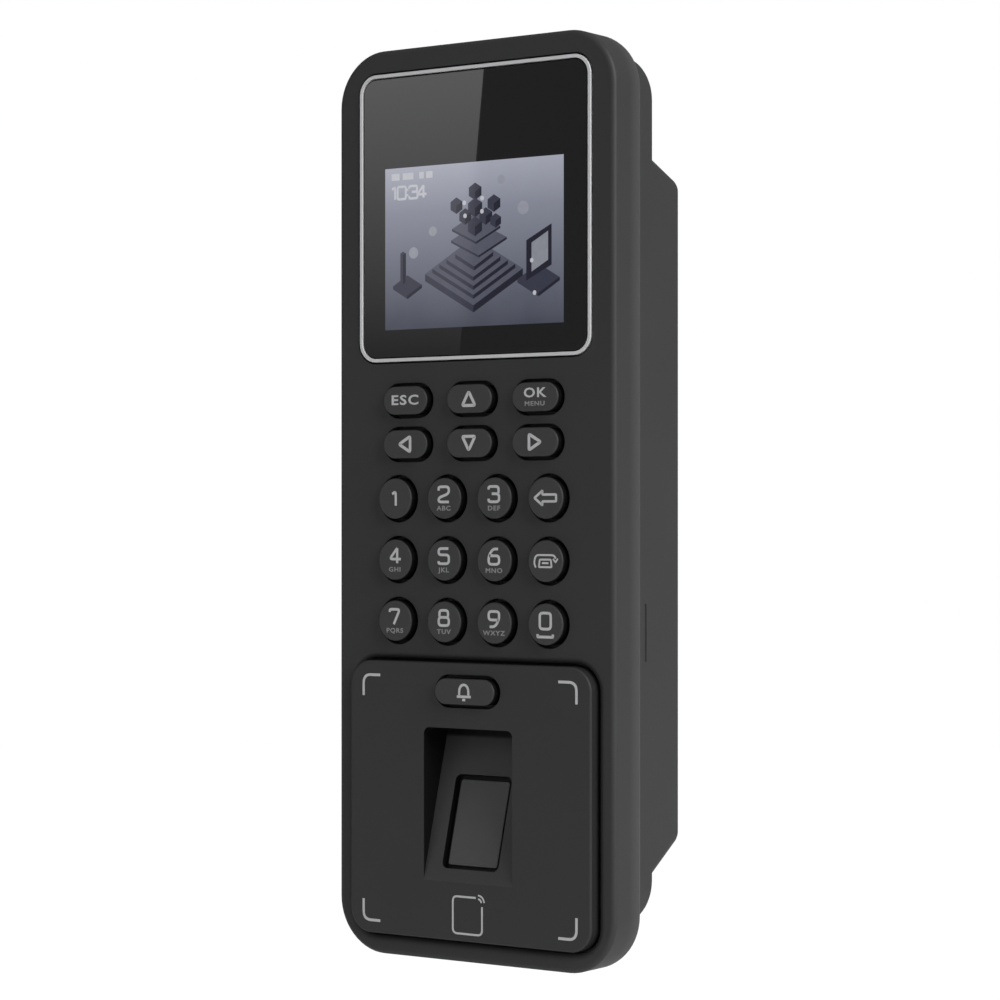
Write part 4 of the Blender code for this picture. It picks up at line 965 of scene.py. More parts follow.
def make_front_cover():
    body = Span("front_cover")
    inner, before, corner = body.front + FRONT_WALL, body.front - OVERRUN, sizes().body_corner
    cover = slab(
        "front_cover_shell", *body.grown(0), corner, body.front, body.back,
        front_round=sizes().front_edge, back_round=sizes().rear_edge, steps=BODY_STEPS,
    )
    cavity = slab(
        "cavity", *body.grown(-SIDE_WALL), corner - SIDE_WALL, inner, body.back + OVERRUN, steps=BODY_STEPS
    )
    trim = Span("screen_trim").grown(CLEARANCE)
    seat = slab("seat", *trim, TRIM_CORNER + CLEARANCE, before, body.front + WINDOW_SEAT)
    _, foot, width, height = picture_area()
    view = slab(
        "view", width + 2 * VIEW_MARGIN, foot - VIEW_MARGIN, foot + height + VIEW_MARGIN, VIEW_MARGIN,
        before, inner + OVERRUN,
    )
    caps = [Cap(node) for row in KEY_ROWS for node in row]
    holes = lofts("holes", [cap.hole(body.front, inner + OVERRUN, sizes().hole_edge) for cap in caps])
    panel = Panel()
    opening = loft("opening", flared_loops(
        panel.width + 2 * PANEL_GAP, panel.foot - PANEL_GAP, panel.top + PANEL_GAP, PANEL_CORNER + PANEL_GAP,
        body.front, inner + OVERRUN, PANEL_MOUTH, steps=BODY_STEPS,
    ))
    carve(cover, cavity, seat, view, holes, opening)
    boss_end = Span("seam_seal").back + CLEARANCE + 0.1 * MM
    for name, radius, start, end, shape in (
        ("bosses", CASE_BOSS_RADIUS, inner - CLEARANCE, boss_end, weld),
        ("pilots", CASE_PILOT_RADIUS, inner + CLEARANCE, boss_end + OVERRUN, carve),
    ):
        shape(cover, lofts(name, [disc_loops(radius, s.x, s.z, start, end) for s in spans(CASE_SCREWS)]))
    # The faces inside the openings take the second finish, darkened with painted shade.
    mark_sides(smooth(cover), 1, STEEP, lambda x, z: outside(x, z, body, corner) < -SIDE_WALL)
    settle(cover, ["cover", "opening"], ["front_cover"])


# ---- display


class Picture:
    """Draws the display's picture as thin plates in layers, each a little nearer the viewer than the last."""

    LAYER = 0.008 * MM

    def __init__(self, face):
        self.face = face
        self.left, self.foot, self.width, self.height = picture_area()
        self.meshes = {}
        self.layer = 1

    def at(self, across_share, down_share):
        """A place given as shares of the width from the left and of the height from the top."""
        return Vector((self.left + across_share * self.width, self.foot + (1 - down_share) * self.height))

    def plate(self, tone, points, raise_layer=True):
        bm = self.meshes.setdefault(tone, bmesh.new())
        add_loft(bm, [(self.face - self.LAYER * self.layer, points), (self.face + self.LAYER, points)])
        self.layer += raise_layer

    def rectangle(self, tone, left, top, right, low):
        a, b = self.at(left, top), self.at(right, low)
        self.plate(tone, [(a.x, a.y), (b.x, a.y), (b.x, b.y), (a.x, b.y)], False)

    def dot(self, tone, place, width, height, radius, steps, raise_layer):
        centre = self.at(*place)
        low, high = centre.y - height / 2 * MM, centre.y + height / 2 * MM
        self.plate(tone, outline(width * MM, low, high, radius * MM, centre.x, steps), raise_layer)

    def block(self, place, half, depth, height, tones):
        """A box seen from a corner, sized in millimetres: its lit top, then its left and right sides."""
        centre = self.at(*place)
        left, right, near, far = (
            centre + Vector(step) * MM for step in ((-half, 0), (half, 0), (0, -depth), (0, depth))
        )
        fall = Vector((0, -height)) * MM
        faces = ((left, near, right, far), (left, left + fall, near + fall, near),
                 (near, near + fall, right + fall, right))
        for tone, points in zip(tones, faces):
            self.plate(tone, points, False)
        self.layer += 1


STONE = ("light", "middle", "dark")
SHADE = ("middle", "middle", "dark")
# From the back to the front: shares across and down, then half width, depth and height in millimetres
STEPS = (((0.505, 0.665), 13.4, 7.6, 1.6), ((0.505, 0.635), 11.4, 6.4, 0.9), ((0.505, 0.61), 9.4, 5.3, 0.9),
         ((0.505, 0.585), 7.4, 4.2, 0.9), ((0.51, 0.555), 5.2, 3.0, 0.9))
PLATES = (((0.535, 0.47), 7.6, 3.7, 0.5), ((0.52, 0.40), 6.6, 3.2, 0.5))
CUBES = (((0.515, 0.155), 1.7), ((0.41, 0.235), 1.6), ((0.62, 0.235), 1.7), ((0.515, 0.25), 1.9),
         ((0.46, 0.305), 1.6), ((0.575, 0.31), 1.7), ((0.63, 0.345), 1.4), ((0.515, 0.365), 1.9))
GLINTS = ((0.455, 0.245), (0.555, 0.225), (0.46, 0.325), (0.555, 0.305), (0.845, 0.815), (0.83, 0.62))
HALOS = (((0.275, 0.405), 1.1), ((0.78, 0.30), 1.5), ((0.165, 0.53), 1.3), ((0.66, 0.12), 1.0))
STATUS_ROW = ((0.04, 0.085), (0.105, 0.165), (0.20, 0.225), (0.24, 0.275))


def draw_picture(face):
    """A generic drawing of a stepped platform with plates and cubes over it, a status row and a clock."""
    picture = Picture(face)
    picture.rectangle("background", 0, 0, 1, 1)
    picture.layer = 2
    for place, radius in HALOS:
        picture.dot("halo", place, 2 * radius, 2 * radius, radius, 6, True)
    for place, half, depth, height in STEPS + PLATES:
        picture.block(place, half, depth, height, STONE)
    for place, half in CUBES:
        picture.block(place, half, half * 0.6, half * 1.1, SHADE)
    for place, half in (((0.13, 0.73), 4.0), ((0.865, 0.73), 5.6)):
        picture.block(place, half, half * 0.58, 0.7, SHADE)
    picture.block((0.105, 0.53), 0.7, 0.4, 6.6, SHADE)
    low, high = picture.at(0.80, 0.74), picture.at(0.935, 0.46)
    lean, inset = Vector((0, 1.9 * MM)), Vector((1.4 * MM, 1.9 * MM))
    picture.plate("dark", (low, (high.x, low.y + 3.2 * MM), high + lean, (low.x, high.y - 1.4 * MM)))
    picture.plate("pale", (
        low + inset, (high.x - 0.8 * MM, low.y + 4.3 * MM), high + lean - Vector((0.8 * MM, 1.5 * MM)),
        (low.x + inset.x, high.y - 2.0 * MM),
    ))
    for place in GLINTS:
        picture.dot("white", place, 0.9, 1.0, 0.4, 3, False)
    for left, right in STATUS_ROW:
        picture.rectangle("white", left, 0.035, right, 0.075)
    made = {tone: as_object("picture_" + tone, bm) for tone, bm in picture.meshes.items()}
    bm = bmesh.new()
    clock = picture.at(0.035, 0.155)
    for figure, shift in zip("1034", (0.9, 3.0, 6.3, 8.6)):
        add_figure(bm, figure, clock.x + shift * MM, clock.y, 2.8 * MM, 0.55 * MM, face - 0.02 * MM, 0.2)
    for rise in (-0.6, 0.6):
        dot = [(clock.x + shift * MM, clock.y + rise * MM) for shift in (4.45, 4.9)]
        add_line(bm, rounded_path(dot, 0), 0.5 * MM, face)
    made["clock"] = as_object("picture_clock", bm)
    return made


def make_display():
    trim, window = Span("screen_trim"), Span("screen_window")
    ring = slab(
        "screen_trim_ring", *trim.grown(-TRIM_INSET), TRIM_CORNER - TRIM_INSET, trim.front, trim.back,
        front_round=TRIM_ROUND,
    )
    carve(ring, loft("inside", flared_loops(
        *trim.grown(-TRIM_BAND), TRIM_CORNER - TRIM_BAND, trim.front, trim.back + OVERRUN, TRIM_FLARE
    )))
    settle(smooth(ring), ["trim"], ["screen_trim"])

    edge = TRIM_BAND + CLEARANCE
    place = (window.front, window.back)
    glass = slab("screen_glass", *trim.grown(-edge), TRIM_CORNER - edge, *place, front_round=GLASS_EDGE)
    drawn = draw_picture(window.front)
    order = ("background", "pale", "light", "middle", "dark", "white", "clock", "halo")
    absorb(smooth(glass), *(drawn[tone] for tone in order))
    tones = ("pale", "light", "middle", "dark", "white", "white", "halo")
    looks = ["smoked_glass", "picture", *("picture_" + tone for tone in tones)]
    settle(glass, looks, ["screen_window"])


# ---- keys

TRIANGLE = ((-1.75, -1.5), (1.75, -1.5), (0, 1.6))
TURNS = {"key_up": 0, "key_down": 180, "key_left": 90, "key_right": -90}


def turned(points, degrees):
    turn = math.radians(degrees)
    cos, sin = math.cos(turn), math.sin(turn)
    return [(x * cos - z * sin, x * sin + z * cos) for x, z in points]
LETTERS = {"2": "ABC", "3": "DEF", "4": "GHI", "5": "JKL", "6": "MNO", "7": "PQRS", "8": "TUV", "9": "WXYZ"}
BACK_ARROW = ((-2.85, 0), (-0.75, 1.6), (-0.75, 0.75), (2.85, 0.75), (2.85, -0.75), (-0.75, -0.75),
              (-0.75, -1.6))
BELL = ((-1.25, -0.72), (-1.25, 0.7), (-0.55, 1.6), (0.55, 1.6), (1.25, 0.7), (1.25, -0.72))
# A key's lines: points in millimetres from the cap's middle, share of the line width, whether the line closes,
# and how far its corners are eased
SIGNS = {
    **{node: ((turned(TRIANGLE, degrees), 1.15, True, 0.5),) for node, degrees in TURNS.items()},
    "key_back": ((BACK_ARROW, 0.9, True, 0.2),),
    "key_bell": (
        (BELL, 0.95, False, 0.6),
        (((-1.9, -1.05), (1.9, -1.05)), 0.95, False, 0.3),
        (((-0.4, -1.75), (0.4, -1.75)), 0.95, False, 0.3),
    ),
    "key_input": (
        (((-1.7, -1.3), (1.7, -1.3), (1.45, 0.35), (-1.45, 0.35)), 0.7, True, 0.25),
        (((-0.85, -0.42), (0.85, -0.42)), 0.7, False, 0.3),
        (((-2.5, -1.4), (-3.0, -0.4), (-2.5, 1.35), (2.3, 1.35), (2.75, 0.6)), 0.7, False, 0.8),
        (((2.05, 0.5), (2.72, -0.25), (3.3, 0.6)), 0.6, False, 0.1),
    ),
    "key_0": ((((-2.0, -2.15), (-2.0, -2.75), (2.0, -2.75), (2.0, -2.15)), 1.0, False, 0.1),),
}
# A key's words: text, rise from the cap's middle, height of its capitals, and stretch
WORDS = {
    "key_esc": (("ESC", 0.0, 2.2, 1.42),),
    "key_ok": (("OK", 0.85, 2.1, 1.3), ("MENU", -1.5, 1.0, 1.3)),
    **{"key_" + figure: ((letters, -2.25, 1.05, 1.25),) for figure, letters in LETTERS.items()},
}
# A figure's rise from the cap's middle and its height, in millimetres
FIGURE_PLACES = {"1": (0.0, 3.2), "0": (0.75, 3.5)}
OTHER_FIGURES = (0.9, 3.4)


def key_print(node, cap):
    """A key's strong print and, where it has one, the faint print under it."""
    words = [
        word(text, cap.x, cap.z + rise * MM, size * MM, cap.front, stretch)
        for text, rise, size, stretch in WORDS.get(node, ())
    ]
    figure = node[len("key_"):]
    if figure not in FIGURES and node not in SIGNS:
        return words
    bm = bmesh.new()
    line = sizes().legend_line
    if figure in FIGURES:
        rise, size = FIGURE_PLACES.get(figure, OTHER_FIGURES)
        add_figure(bm, figure, cap.x, cap.z + rise * MM, size * MM, line, cap.front)
    for points, share, closed, ease in SIGNS.get(node, ()):
        placed = [(cap.x + x * MM, cap.z + z * MM) for x, z in points]
        add_line(bm, rounded_path(placed, ease * MM, closed), line * share, cap.front, closed)
    return [as_object("print_" + node, bm), *words]


def make_key(node):
    cap = Cap(node)
    flange_back = cap.flange_front + FLANGE_THICK
    post = outline(2 * POST_RADIUS, cap.z - POST_RADIUS, cap.z + POST_RADIUS, POST_RADIUS, cap.x, SMALL_STEPS)
    loops = [(cap.front + rise, cap.outline(-inset)) for inset, rise in fillet(sizes().key_edge)]
    loops += [(cap.flange_front, cap.outline()), (cap.flange_front, cap.outline(cap.grow)),
              (flange_back, cap.outline(cap.grow)), (flange_back, post), (cap.back, post)]
    # The cap's sides take the edge finish, darkened with painted shade.
    piece = mark_sides(smooth(loft(node + "_cap", loops)), 3, STEEP)
    absorb(piece, *key_print(node, cap))
    edge = "bell_edge" if node == "key_bell" else "key_edge"
    settle(piece, ["key", "ink", "faint_ink", edge], [node], node)


# ---- reader panel and fingerprint sensor


def on_ramp(target, panel, z):
    """Tips a piece that was made flat round its middle, so that it lies along the finger ramp."""
    place = Matrix.Translation((0.0, panel.ramp(z), z))
    target.data.transform(place @ Matrix.Rotation(-RAMP_ANGLE, 4, "X"))
    return target


def make_reader_panel():
    panel, glass = Panel(), Span("sensor_glass")
    flange_back = panel.flange_front + PANEL_FLANGE_THICK

    def plate(name, out, radius, front, back, **more):
        return slab(
            name, panel.width + 2 * out, panel.foot - out, panel.top + out, radius, front, back,
            steps=BODY_STEPS, **more,
        )

    body = plate("reader_panel_shell", 0.0, PANEL_CORNER, panel.face, flange_back, front_round=PANEL_EDGE)
    flange_corner = sizes().body_corner - SIDE_WALL - 1.1 * MM
    flange = plate("flange", PANEL_FLANGE, flange_corner, panel.flange_front, flange_back)
    hollow = plate("hollow", -PANEL_SIDE, PANEL_CORNER - PANEL_SIDE, panel.back, flange_back + OVERRUN)
    deep = panel.face + RECESS_DEPTH
    lean = RECESS_SHELL / math.cos(RAMP_ANGLE)
    bowl_front = panel.back - OVERRUN
    bowl_foot = panel.recess_foot + (bowl_front - lean - panel.face) / RAMP_SLOPE
    bowl_top = panel.recess_top + RECESS_SHELL
    bowl = across(
        "bowl", [(bowl_front, bowl_foot), (bowl_front, bowl_top), (deep + lean, bowl_top),
                 (deep + lean, panel.recess_top)], RECESS_WIDTH + 2 * RECESS_SHELL,
    )
    front = panel.face - OVERRUN
    recess = across(
        "recess", [(front, panel.recess_top + MM), (deep, panel.recess_top + MM), (deep, panel.recess_top),
                   (panel.face, panel.recess_foot), (front, panel.recess_foot - OVERRUN / RAMP_SLOPE)],
        RECESS_WIDTH + MM,
    )
    carve(recess, slab(
        "recess_sides", RECESS_WIDTH, panel.recess_foot - 3 * RECESS_CORNER, panel.recess_top, RECESS_CORNER,
        front - OVERRUN, deep + OVERRUN,
    ), operation="INTERSECT")
    aperture = slab(
        "aperture", glass.width + 2 * SENSOR_GAP, -SENSOR_HALF - SENSOR_GAP, SENSOR_HALF + SENSOR_GAP,
        RECESS_CORNER, -2 * OVERRUN, RECESS_SHELL + 3 * OVERRUN,
    )
    on_ramp(aperture, panel, glass.z + SENSOR_RISE)
    bell = loft("bell_hole", Cap("key_bell").hole(panel.face, panel.back + OVERRUN, sizes().hole_edge))
    weld(body, flange)
    carve(body, hollow)
    weld(body, bowl)
    carve(body, recess, aperture, bell)
    # The ramp takes painted light and shade; the panel's edge and the recess's walls take painted shade.
    mark_sides(mark_sides(smooth(body), 3, RAMP_STEEP), 2, STEEP)
    mark_sides(body, 4, STEEP, lambda x, z: (
        abs(x) < RECESS_WIDTH / 2 + MM and panel.recess_foot < z < panel.recess_top + MM
    ))
    absorb(body, draw_panel_marks(panel))
    settle(body, ["cover", "ink", "panel_edge", "ramp", "recess"], ["reader_panel"])


def draw_panel_marks(panel):
    """Four corner marks round the reader's field, and a card with waves under the finger recess."""
    bm = bmesh.new()
    line = sizes().mark_line
    half, low, high, arm = 29.15 * MM, panel.foot + 2.9 * MM, panel.top - 3.3 * MM, 4.75 * MM
    for x_side, z, z_side in ((-1, high, -1), (1, high, -1), (-1, low, 1), (1, low, 1)):
        x = x_side * half
        points = [(x - x_side * arm, z), (x, z), (x, z + z_side * arm)]
        add_line(bm, rounded_path(points, 2.0 * MM, steps=8), line, panel.face)
    top, foot, side = panel.recess_foot - 3.05 * MM, panel.recess_foot - 11.3 * MM, 4.0 * MM
    card = [(side - 1.7 * MM, top), (-side, top), (-side, foot), (side, foot), (side, top - 1.9 * MM)]
    add_line(bm, rounded_path(card, 1.2 * MM, steps=6), line * 0.72, panel.face)
    middle = Vector((side - 1.1 * MM, top - 1.1 * MM))
    for radius in (0.9, 1.7):
        turns = [math.radians(degrees) for degrees in range(5, 91, 12)]
        arc = [middle + Vector((math.cos(turn), math.sin(turn))) * radius * MM for turn in turns]
        add_line(bm, arc, line * 0.6, panel.face)
    return as_object("panel_marks", bm)


SENSOR_HALF = 9.75 * MM
SENSOR_RISE = 0.37 * MM  # the glass lies under the ramp, so its box is lower than its aperture by this


def make_sensor():
    glass = refined("sensor_glass", 0.22 * MM, "finger_glass")
    settle(glass, ["frosted_glass"], ["sensor_glass"])
    for node, look, slot in (
        ("sensor_housing", "inner", "inner_black"), ("sensor_board", "board", "circuit_board"),
        ("sensor_cable", "film", "flex_amber"),
    ):
        settle(refined(node, 0.12 * MM), [look], [node])


# ---- rear cover


def make_rear_cover():
    box, skirt, seal, plate = spans(("rear_cover", "front_cover", "seam_seal", "wall_plate"))
    screw, plunger = spans(("fixing_screw", "tamper_plunger"))
    flange_corner = sizes().body_corner - SIDE_WALL - CLEARANCE
    body_width = box.width - 2 * 0.3 * MM
    body_top, body_foot = skirt.top - 3.4 * MM, skirt.foot + 8.5 * MM
    box_top, box_foot = skirt.top - 25.5 * MM, skirt.foot + 18.6 * MM
    back_top, back_foot = box_top - 5.0 * MM, box_foot + 7.7 * MM
    step, rim = skirt.front + 19.2 * MM, box.back
    inside = rim - 4.0 * MM
    groove = 1.2 * MM

    def flange(inset=0.0):
        return outline(*box.grown(-inset), flange_corner - inset)

    def shallow(inset=0.0, wall=0.0):
        edge = inset + wall
        return outline(body_width - 2 * wall, body_foot + edge, body_top - edge, REAR_CORNER - wall)

    def deep(y, wall=0.0):
        share = (y - step) / (rim - step)
        top = box_top + (back_top - box_top) * share - wall
        foot = box_foot + (back_foot - box_foot) * share + wall
        return outline(body_width - 0.4 * MM - 2 * wall, foot, top, BOX_CORNER)

    loops = [
        (box.front, flange()), (seal.front - CLEARANCE, flange()), (seal.front - CLEARANCE, flange(groove)),
        (seal.back + CLEARANCE, flange(groove)), (seal.back + CLEARANCE, flange()), (skirt.back, flange()),
        (skirt.back, shallow()),
    ]
    loops += [(step - rise, shallow(inset)) for inset, rise in reversed(fillet(REAR_ROUND))]
    loops += [(step, deep(step)), (rim - BOX_ROUND, deep(rim - BOX_ROUND))]
    loops += [(rim - rise, deep(rim - rise, inset)) for inset, rise in reversed(fillet(BOX_ROUND)[:-1])]
    cover = loft("rear_cover_shell", loops)
    carve(cover, loft("cavity", [
        (box.front - OVERRUN, shallow(0, REAR_WALL)), (step - REAR_WALL, shallow(0, REAR_WALL)),
        (step - REAR_WALL, deep(step, REAR_WALL)), (inside, deep(inside, REAR_WALL)),
    ]))

    seat = skirt.back + REAR_WALL
    board_back = Span("main_board").back
    column_ends = {True: step - 0.5 * MM, False: inside + MM}
    columns = [
        disc_loops(COLUMN_RADIUS, s.x, s.z, seat - REAR_WALL, column_ends[s.z > box_top])
        for s in spans(CASE_SCREWS)
    ]
    posts = [disc_loops(2.4 * MM, s.x, s.z, board_back + CLEARANCE, inside + MM) for s in spans(BOARD_SCREWS)]
    weld(cover, lofts("columns", columns + posts))
    boss_half = screw.width / 2 + SCREW_CLEARANCE + 1.5 * MM
    head_top = screw.foot + SCREW_HEAD
    boss = slab(
        "boss", 2 * boss_half, box_foot + 2.5 * MM, head_top + 3.0 * MM, 0.5 * MM, screw.front - BOSS_WALL,
        inside + MM,
    )
    middle = REAR_WALL / 2
    carve(boss, across("slope", [(step - 20 * MM, box_foot - 20 * MM), (step, box_foot + middle),
                                 (rim, back_foot + middle), (rim, box_foot - 20 * MM)], 4 * boss_half))
    weld(cover, boss)

    def drilled(name, radius, start, end, nodes, steps=6):
        return lofts(name, [disc_loops(radius, s.x, s.z, start, end, steps) for s in spans(nodes)])

    def bore(name, radius, length, place, direction):
        return lathe(name, [(0, radius), (length, radius)], place, direction)

    tray, past_rim = rim - plate_seat_depth(), rim + OVERRUN
    through_back = (inside - OVERRUN, tray + OVERRUN)
    screw_y = screw.front + screw.width / 2
    for cutter in (
        drilled("wells", 2.9 * MM, seat, past_rim, CASE_SCREWS, 10),
        drilled("screw_holes", 1.65 * MM, seat - 4 * MM, seat + OVERRUN, CASE_SCREWS),
        drilled("post_holes", 1.55 * MM, board_back - MM, board_back + 7 * MM, BOARD_SCREWS),
        slab("tray", *plate.grown(0.5 * MM), 3.5 * MM, tray, past_rim),
        slab("cable", *cable_outlet(), 2.0 * MM, inside - OVERRUN, past_rim),
        lofts("hook_slots", [
            slab_loops(7 * MM, z - 5.5 * MM, z + 3.5 * MM, 0.5 * MM, *through_back, x=side * HOOK_X)
            for z in HOOK_Z for side in (-1, 1)
        ]),
        slab("tab_slot", 13 * MM, plate.foot - 0.5 * MM, plate.foot + 2.0 * MM, CLEARANCE, *through_back),
        lofts("side_slots", [
            slab_loops(SLOT_DEPTH, SLOT_Z - SLOT_HALF, SLOT_Z + SLOT_HALF, SLOT_DEPTH / 2,
                       SLOT_Y - SLOT_WIDE / 2, SLOT_Y + SLOT_WIDE / 2, x=side * body_width / 2)
            for side in (-1, 1)
        ]),
        bore("plunger_hole", 2.2 * MM, 3 * MM, (plunger.x, inside - OVERRUN, plunger.z), (0, 1, 0)),
        bore("fixing_bore", 3.1 * MM, 12 * MM, (0, screw_y, head_top - 12 * MM), (0, 0, 1)),
        bore("fixing_hole", 1.9 * MM, 20 * MM, (0, screw_y, screw.foot + MM), (0, 0, 1)),
    ):
        carve(cover, cutter)
    settle(smooth(cover), ["rear"], ["rear_cover"])


HOOK_X = 22.0 * MM
HOOK_Z = (34.0 * MM, -50.0 * MM)
SLOT_Z = -29.0 * MM
SLOT_Y = -15.1 * MM
SLOT_HALF = 6.4 * MM
SLOT_WIDE = 0.9 * MM
SLOT_DEPTH = 0.4 * MM
COLUMN_RADIUS = 3.9 * MM
SCREW_HEAD = 1.9 * MM
BOSS_WALL = 1.9 * MM


def plate_seat_depth():
    """How deep the wall plate's seat is, from the rear rim."""
    return Span("wall_plate").back - Span("rear_cover").back + 1.7 * MM


def cable_outlet():
    """Width, foot and top of the opening for the building's cables."""
    width, height, middle = 44.0 * MM, 26.0 * MM, -23.0 * MM
    return width, middle - height / 2, middle + height / 2


# ---- what repeats: screws, pins and small parts


def repeat_tree():
    """Geometry Nodes that set a unit on every point of a mesh, each a little larger or smaller."""
    tree = bpy.data.node_groups.new("set_out", "GeometryNodeTree")
    face = tree.interface
    for name, kind in (("Geometry", "Geometry"), ("Unit", "Object"), ("Size", "Float"), ("Spread", "Float"),
                       ("Seed", "Int"), ("Finish", "Material")):
        face.new_socket(name, in_out="INPUT", socket_type="NodeSocket" + kind)
    face.new_socket("Geometry", in_out="OUTPUT", socket_type="NodeSocketGeometry")

    def node(kind, **settings):
        made = tree.nodes.new(kind)
        for name, value in settings.items():
            setattr(made, name, value)
        return made

    given = node("NodeGroupInput")
    points = node("GeometryNodeMeshToPoints")
    unit = node("GeometryNodeObjectInfo", transform_space="ORIGINAL")
    unit.inputs["As Instance"].default_value = True
    change = node("FunctionNodeRandomValue", data_type="FLOAT")
    smallest = node("ShaderNodeMath", operation="SUBTRACT")
    largest = node("ShaderNodeMath", operation="ADD")
    place = node("GeometryNodeInstanceOnPoints")
    real = node("GeometryNodeRealizeInstances")
    coat = node("GeometryNodeSetMaterial")
    out = node("NodeGroupOutput")
    for source, target in (
        (given.outputs["Geometry"], points.inputs["Mesh"]), (given.outputs["Unit"], unit.inputs["Object"]),
        (given.outputs["Size"], smallest.inputs[0]), (given.outputs["Spread"], smallest.inputs[1]),
        (given.outputs["Size"], largest.inputs[0]), (given.outputs["Spread"], largest.inputs[1]),
        (smallest.outputs[0], change.inputs[2]), (largest.outputs[0], change.inputs[3]),
        (given.outputs["Seed"], change.inputs["Seed"]), (points.outputs[0], place.inputs["Points"]),
        (unit.outputs["Geometry"], place.inputs["Instance"]), (change.outputs[1], place.inputs["Scale"]),
        (place.outputs[0], real.inputs[0]), (real.outputs[0], coat.inputs["Geometry"]),
        (given.outputs["Finish"], coat.inputs["Material"]), (coat.outputs[0], out.inputs[0]),
    ):
        tree.links.new(source, target)
    return tree


def set_out(name, places, unit, look, spread=0.0, seed=1):
    """One mesh with the unit at each place. The unit is made round the origin and is used up."""
    mesh = bpy.data.meshes.new(name)
    mesh.from_pydata([tuple(place) for place in places], [], [])
    made = linked(name, mesh)
    tree = bpy.data.node_groups.get("set_out") or repeat_tree()
    modifier = made.modifiers.new("set_out", "NODES")
    modifier.node_group = tree
    values = {"Unit": unit, "Size": 1.0, "Spread": spread, "Seed": seed, "Finish": finish(look)}
    for item in tree.interface.items_tree:
        if item.in_out == "INPUT" and item.name in values:
            modifier[item.identifier] = values[item.name]
    made.update_tag()
    apply_modifiers(made)
    bpy.data.objects.remove(unit)
    return smooth(made)


def screw_unit(head, shank, length, direction):
    """A pan head with a cross recess, and a threaded shank; its head's outer face is at the origin."""
    thick, dome, pitch, point = 1.6 * MM, 0.35 * MM, 0.8 * MM, 1.4 * MM
    core = shank * 0.82
    profile = [(0.0, head * 0.62), (dome * 0.35, head * 0.86), (dome, head), (thick, head), (thick, shank)]
    distance = thick + pitch / 2
    while distance < thick + length - point:
        profile += [(distance, core), (distance + pitch / 2, shank)]
        distance += pitch
    profile += [(thick + length - MM, core), (thick + length, shank * 0.35)]
    unit = lathe("screw_unit", profile, (0, 0, 0), direction, sides=28)
    arm, depth = head * 0.55, 0.9 * MM
    for turn in (0, 90):
        bm = bmesh.new()
        bmesh.ops.create_cube(bm, size=1.0)
        turned = Matrix.Rotation(math.radians(turn), 4, "Z")
        shape = turned @ Matrix.Diagonal((2 * arm, head * 0.2, 2 * depth, 1))
        bmesh.ops.transform(bm, matrix=upright(direction) @ shape, verts=bm.verts)
        carve(unit, as_object("driver", bm))
    return unit


def make_screws():
    for name, nodes, length, direction in (
        ("case_screws", CASE_SCREWS, 8.0, (0, -1, 0)), ("board_screws", BOARD_SCREWS, 6.0, (0, 1, 0)),
    ):
        places = [(s.x, s.front if direction[1] > 0 else s.back, s.z) for s in spans(nodes)]
        unit = screw_unit(2.5 * MM, 1.25 * MM, length * MM, direction)
        settle(set_out(name, places, unit, "screw"), [], nodes)
    span = Span("fixing_screw")
    unit = screw_unit(span.width / 2, 1.5 * MM, span.height - 1.6 * MM, (0, 0, 1))
    place = (span.x, (span.front + span.back) / 2, span.foot)
    settle(set_out("fixing_screw_piece", [place], unit, "screw"), [], ["fixing_screw"])


# ---- wall plate, boards and what is on them


def unit_block(name, width, height, thick, radius, rounding, steps):
    """A block that stands on a board's wall side, with its edges eased."""
    return slab(name, width, -height / 2, height / 2, radius, 0.0, thick, back_round=rounding, steps=steps)


def make_wall_plate():
    settle(refined("wall_plate", 0.2 * MM), ["zinc"], ["wall_plate"])


INNER = (
    ("lcd_gasket", 0.0, "foam", "foam"), ("lcd_bracket", 0.25, "inner", "inner_black"),
    ("lcd_module", 0.2, "tinned", "shield_metal"), ("lcd_flex", 0.0, "film", "flex_amber"),
    ("keypad_mat", 0.15, "silicone", "silicone"), ("keypad_board", 0.1, "board", "circuit_board"),
    ("keypad_cable", 0.0, "film", "flex_amber"), ("bell_board", 0.1, "board", "circuit_board"),
    ("processor_shield", 0.15, "tinned", "shield_metal"), ("clock_battery", 0.3, "tinned", "shield_metal"),
    ("buzzer", 0.2, "inner", "inner_black"), ("tamper_switch", 0.2, "inner", "inner_black"),
    ("wiring_header", 0.12, "nylon", "connector_white"), ("network_header", 0.12, "nylon", "connector_white"),
    ("power_header", 0.12, "nylon", "connector_white"), ("seam_seal", 0.1, "seal", "seal_rubber"),
)


def make_inner_parts():
    for node, bevel, look, slot in INNER:
        settle(refined(node, bevel * MM), [look], [node])
    plunger = refined("tamper_plunger", 0.25 * MM)
    settle(plunger, ["key"], ["tamper_plunger"], "tamper_plunger")


def make_antenna():
    """The reader's board, with its coil of copper turns round the edge."""
    span = Span("card_antenna")
    bm = bmesh.new()
    for turn in range(3):
        inset = (0.45 + 0.42 * turn) * MM
        left, right, low, high = span.left + inset, span.right - inset, span.foot + inset, span.top - inset
        ring = [(left, low), (right, low), (right, high), (left, high)]
        add_line(bm, rounded_path(ring, 1.5 * MM, True), 0.22 * MM, span.front, True)
    board = absorb(refined("card_antenna", 0.08 * MM), as_object("coil", bm))
    settle(board, ["board", "gold"], ["card_antenna"])


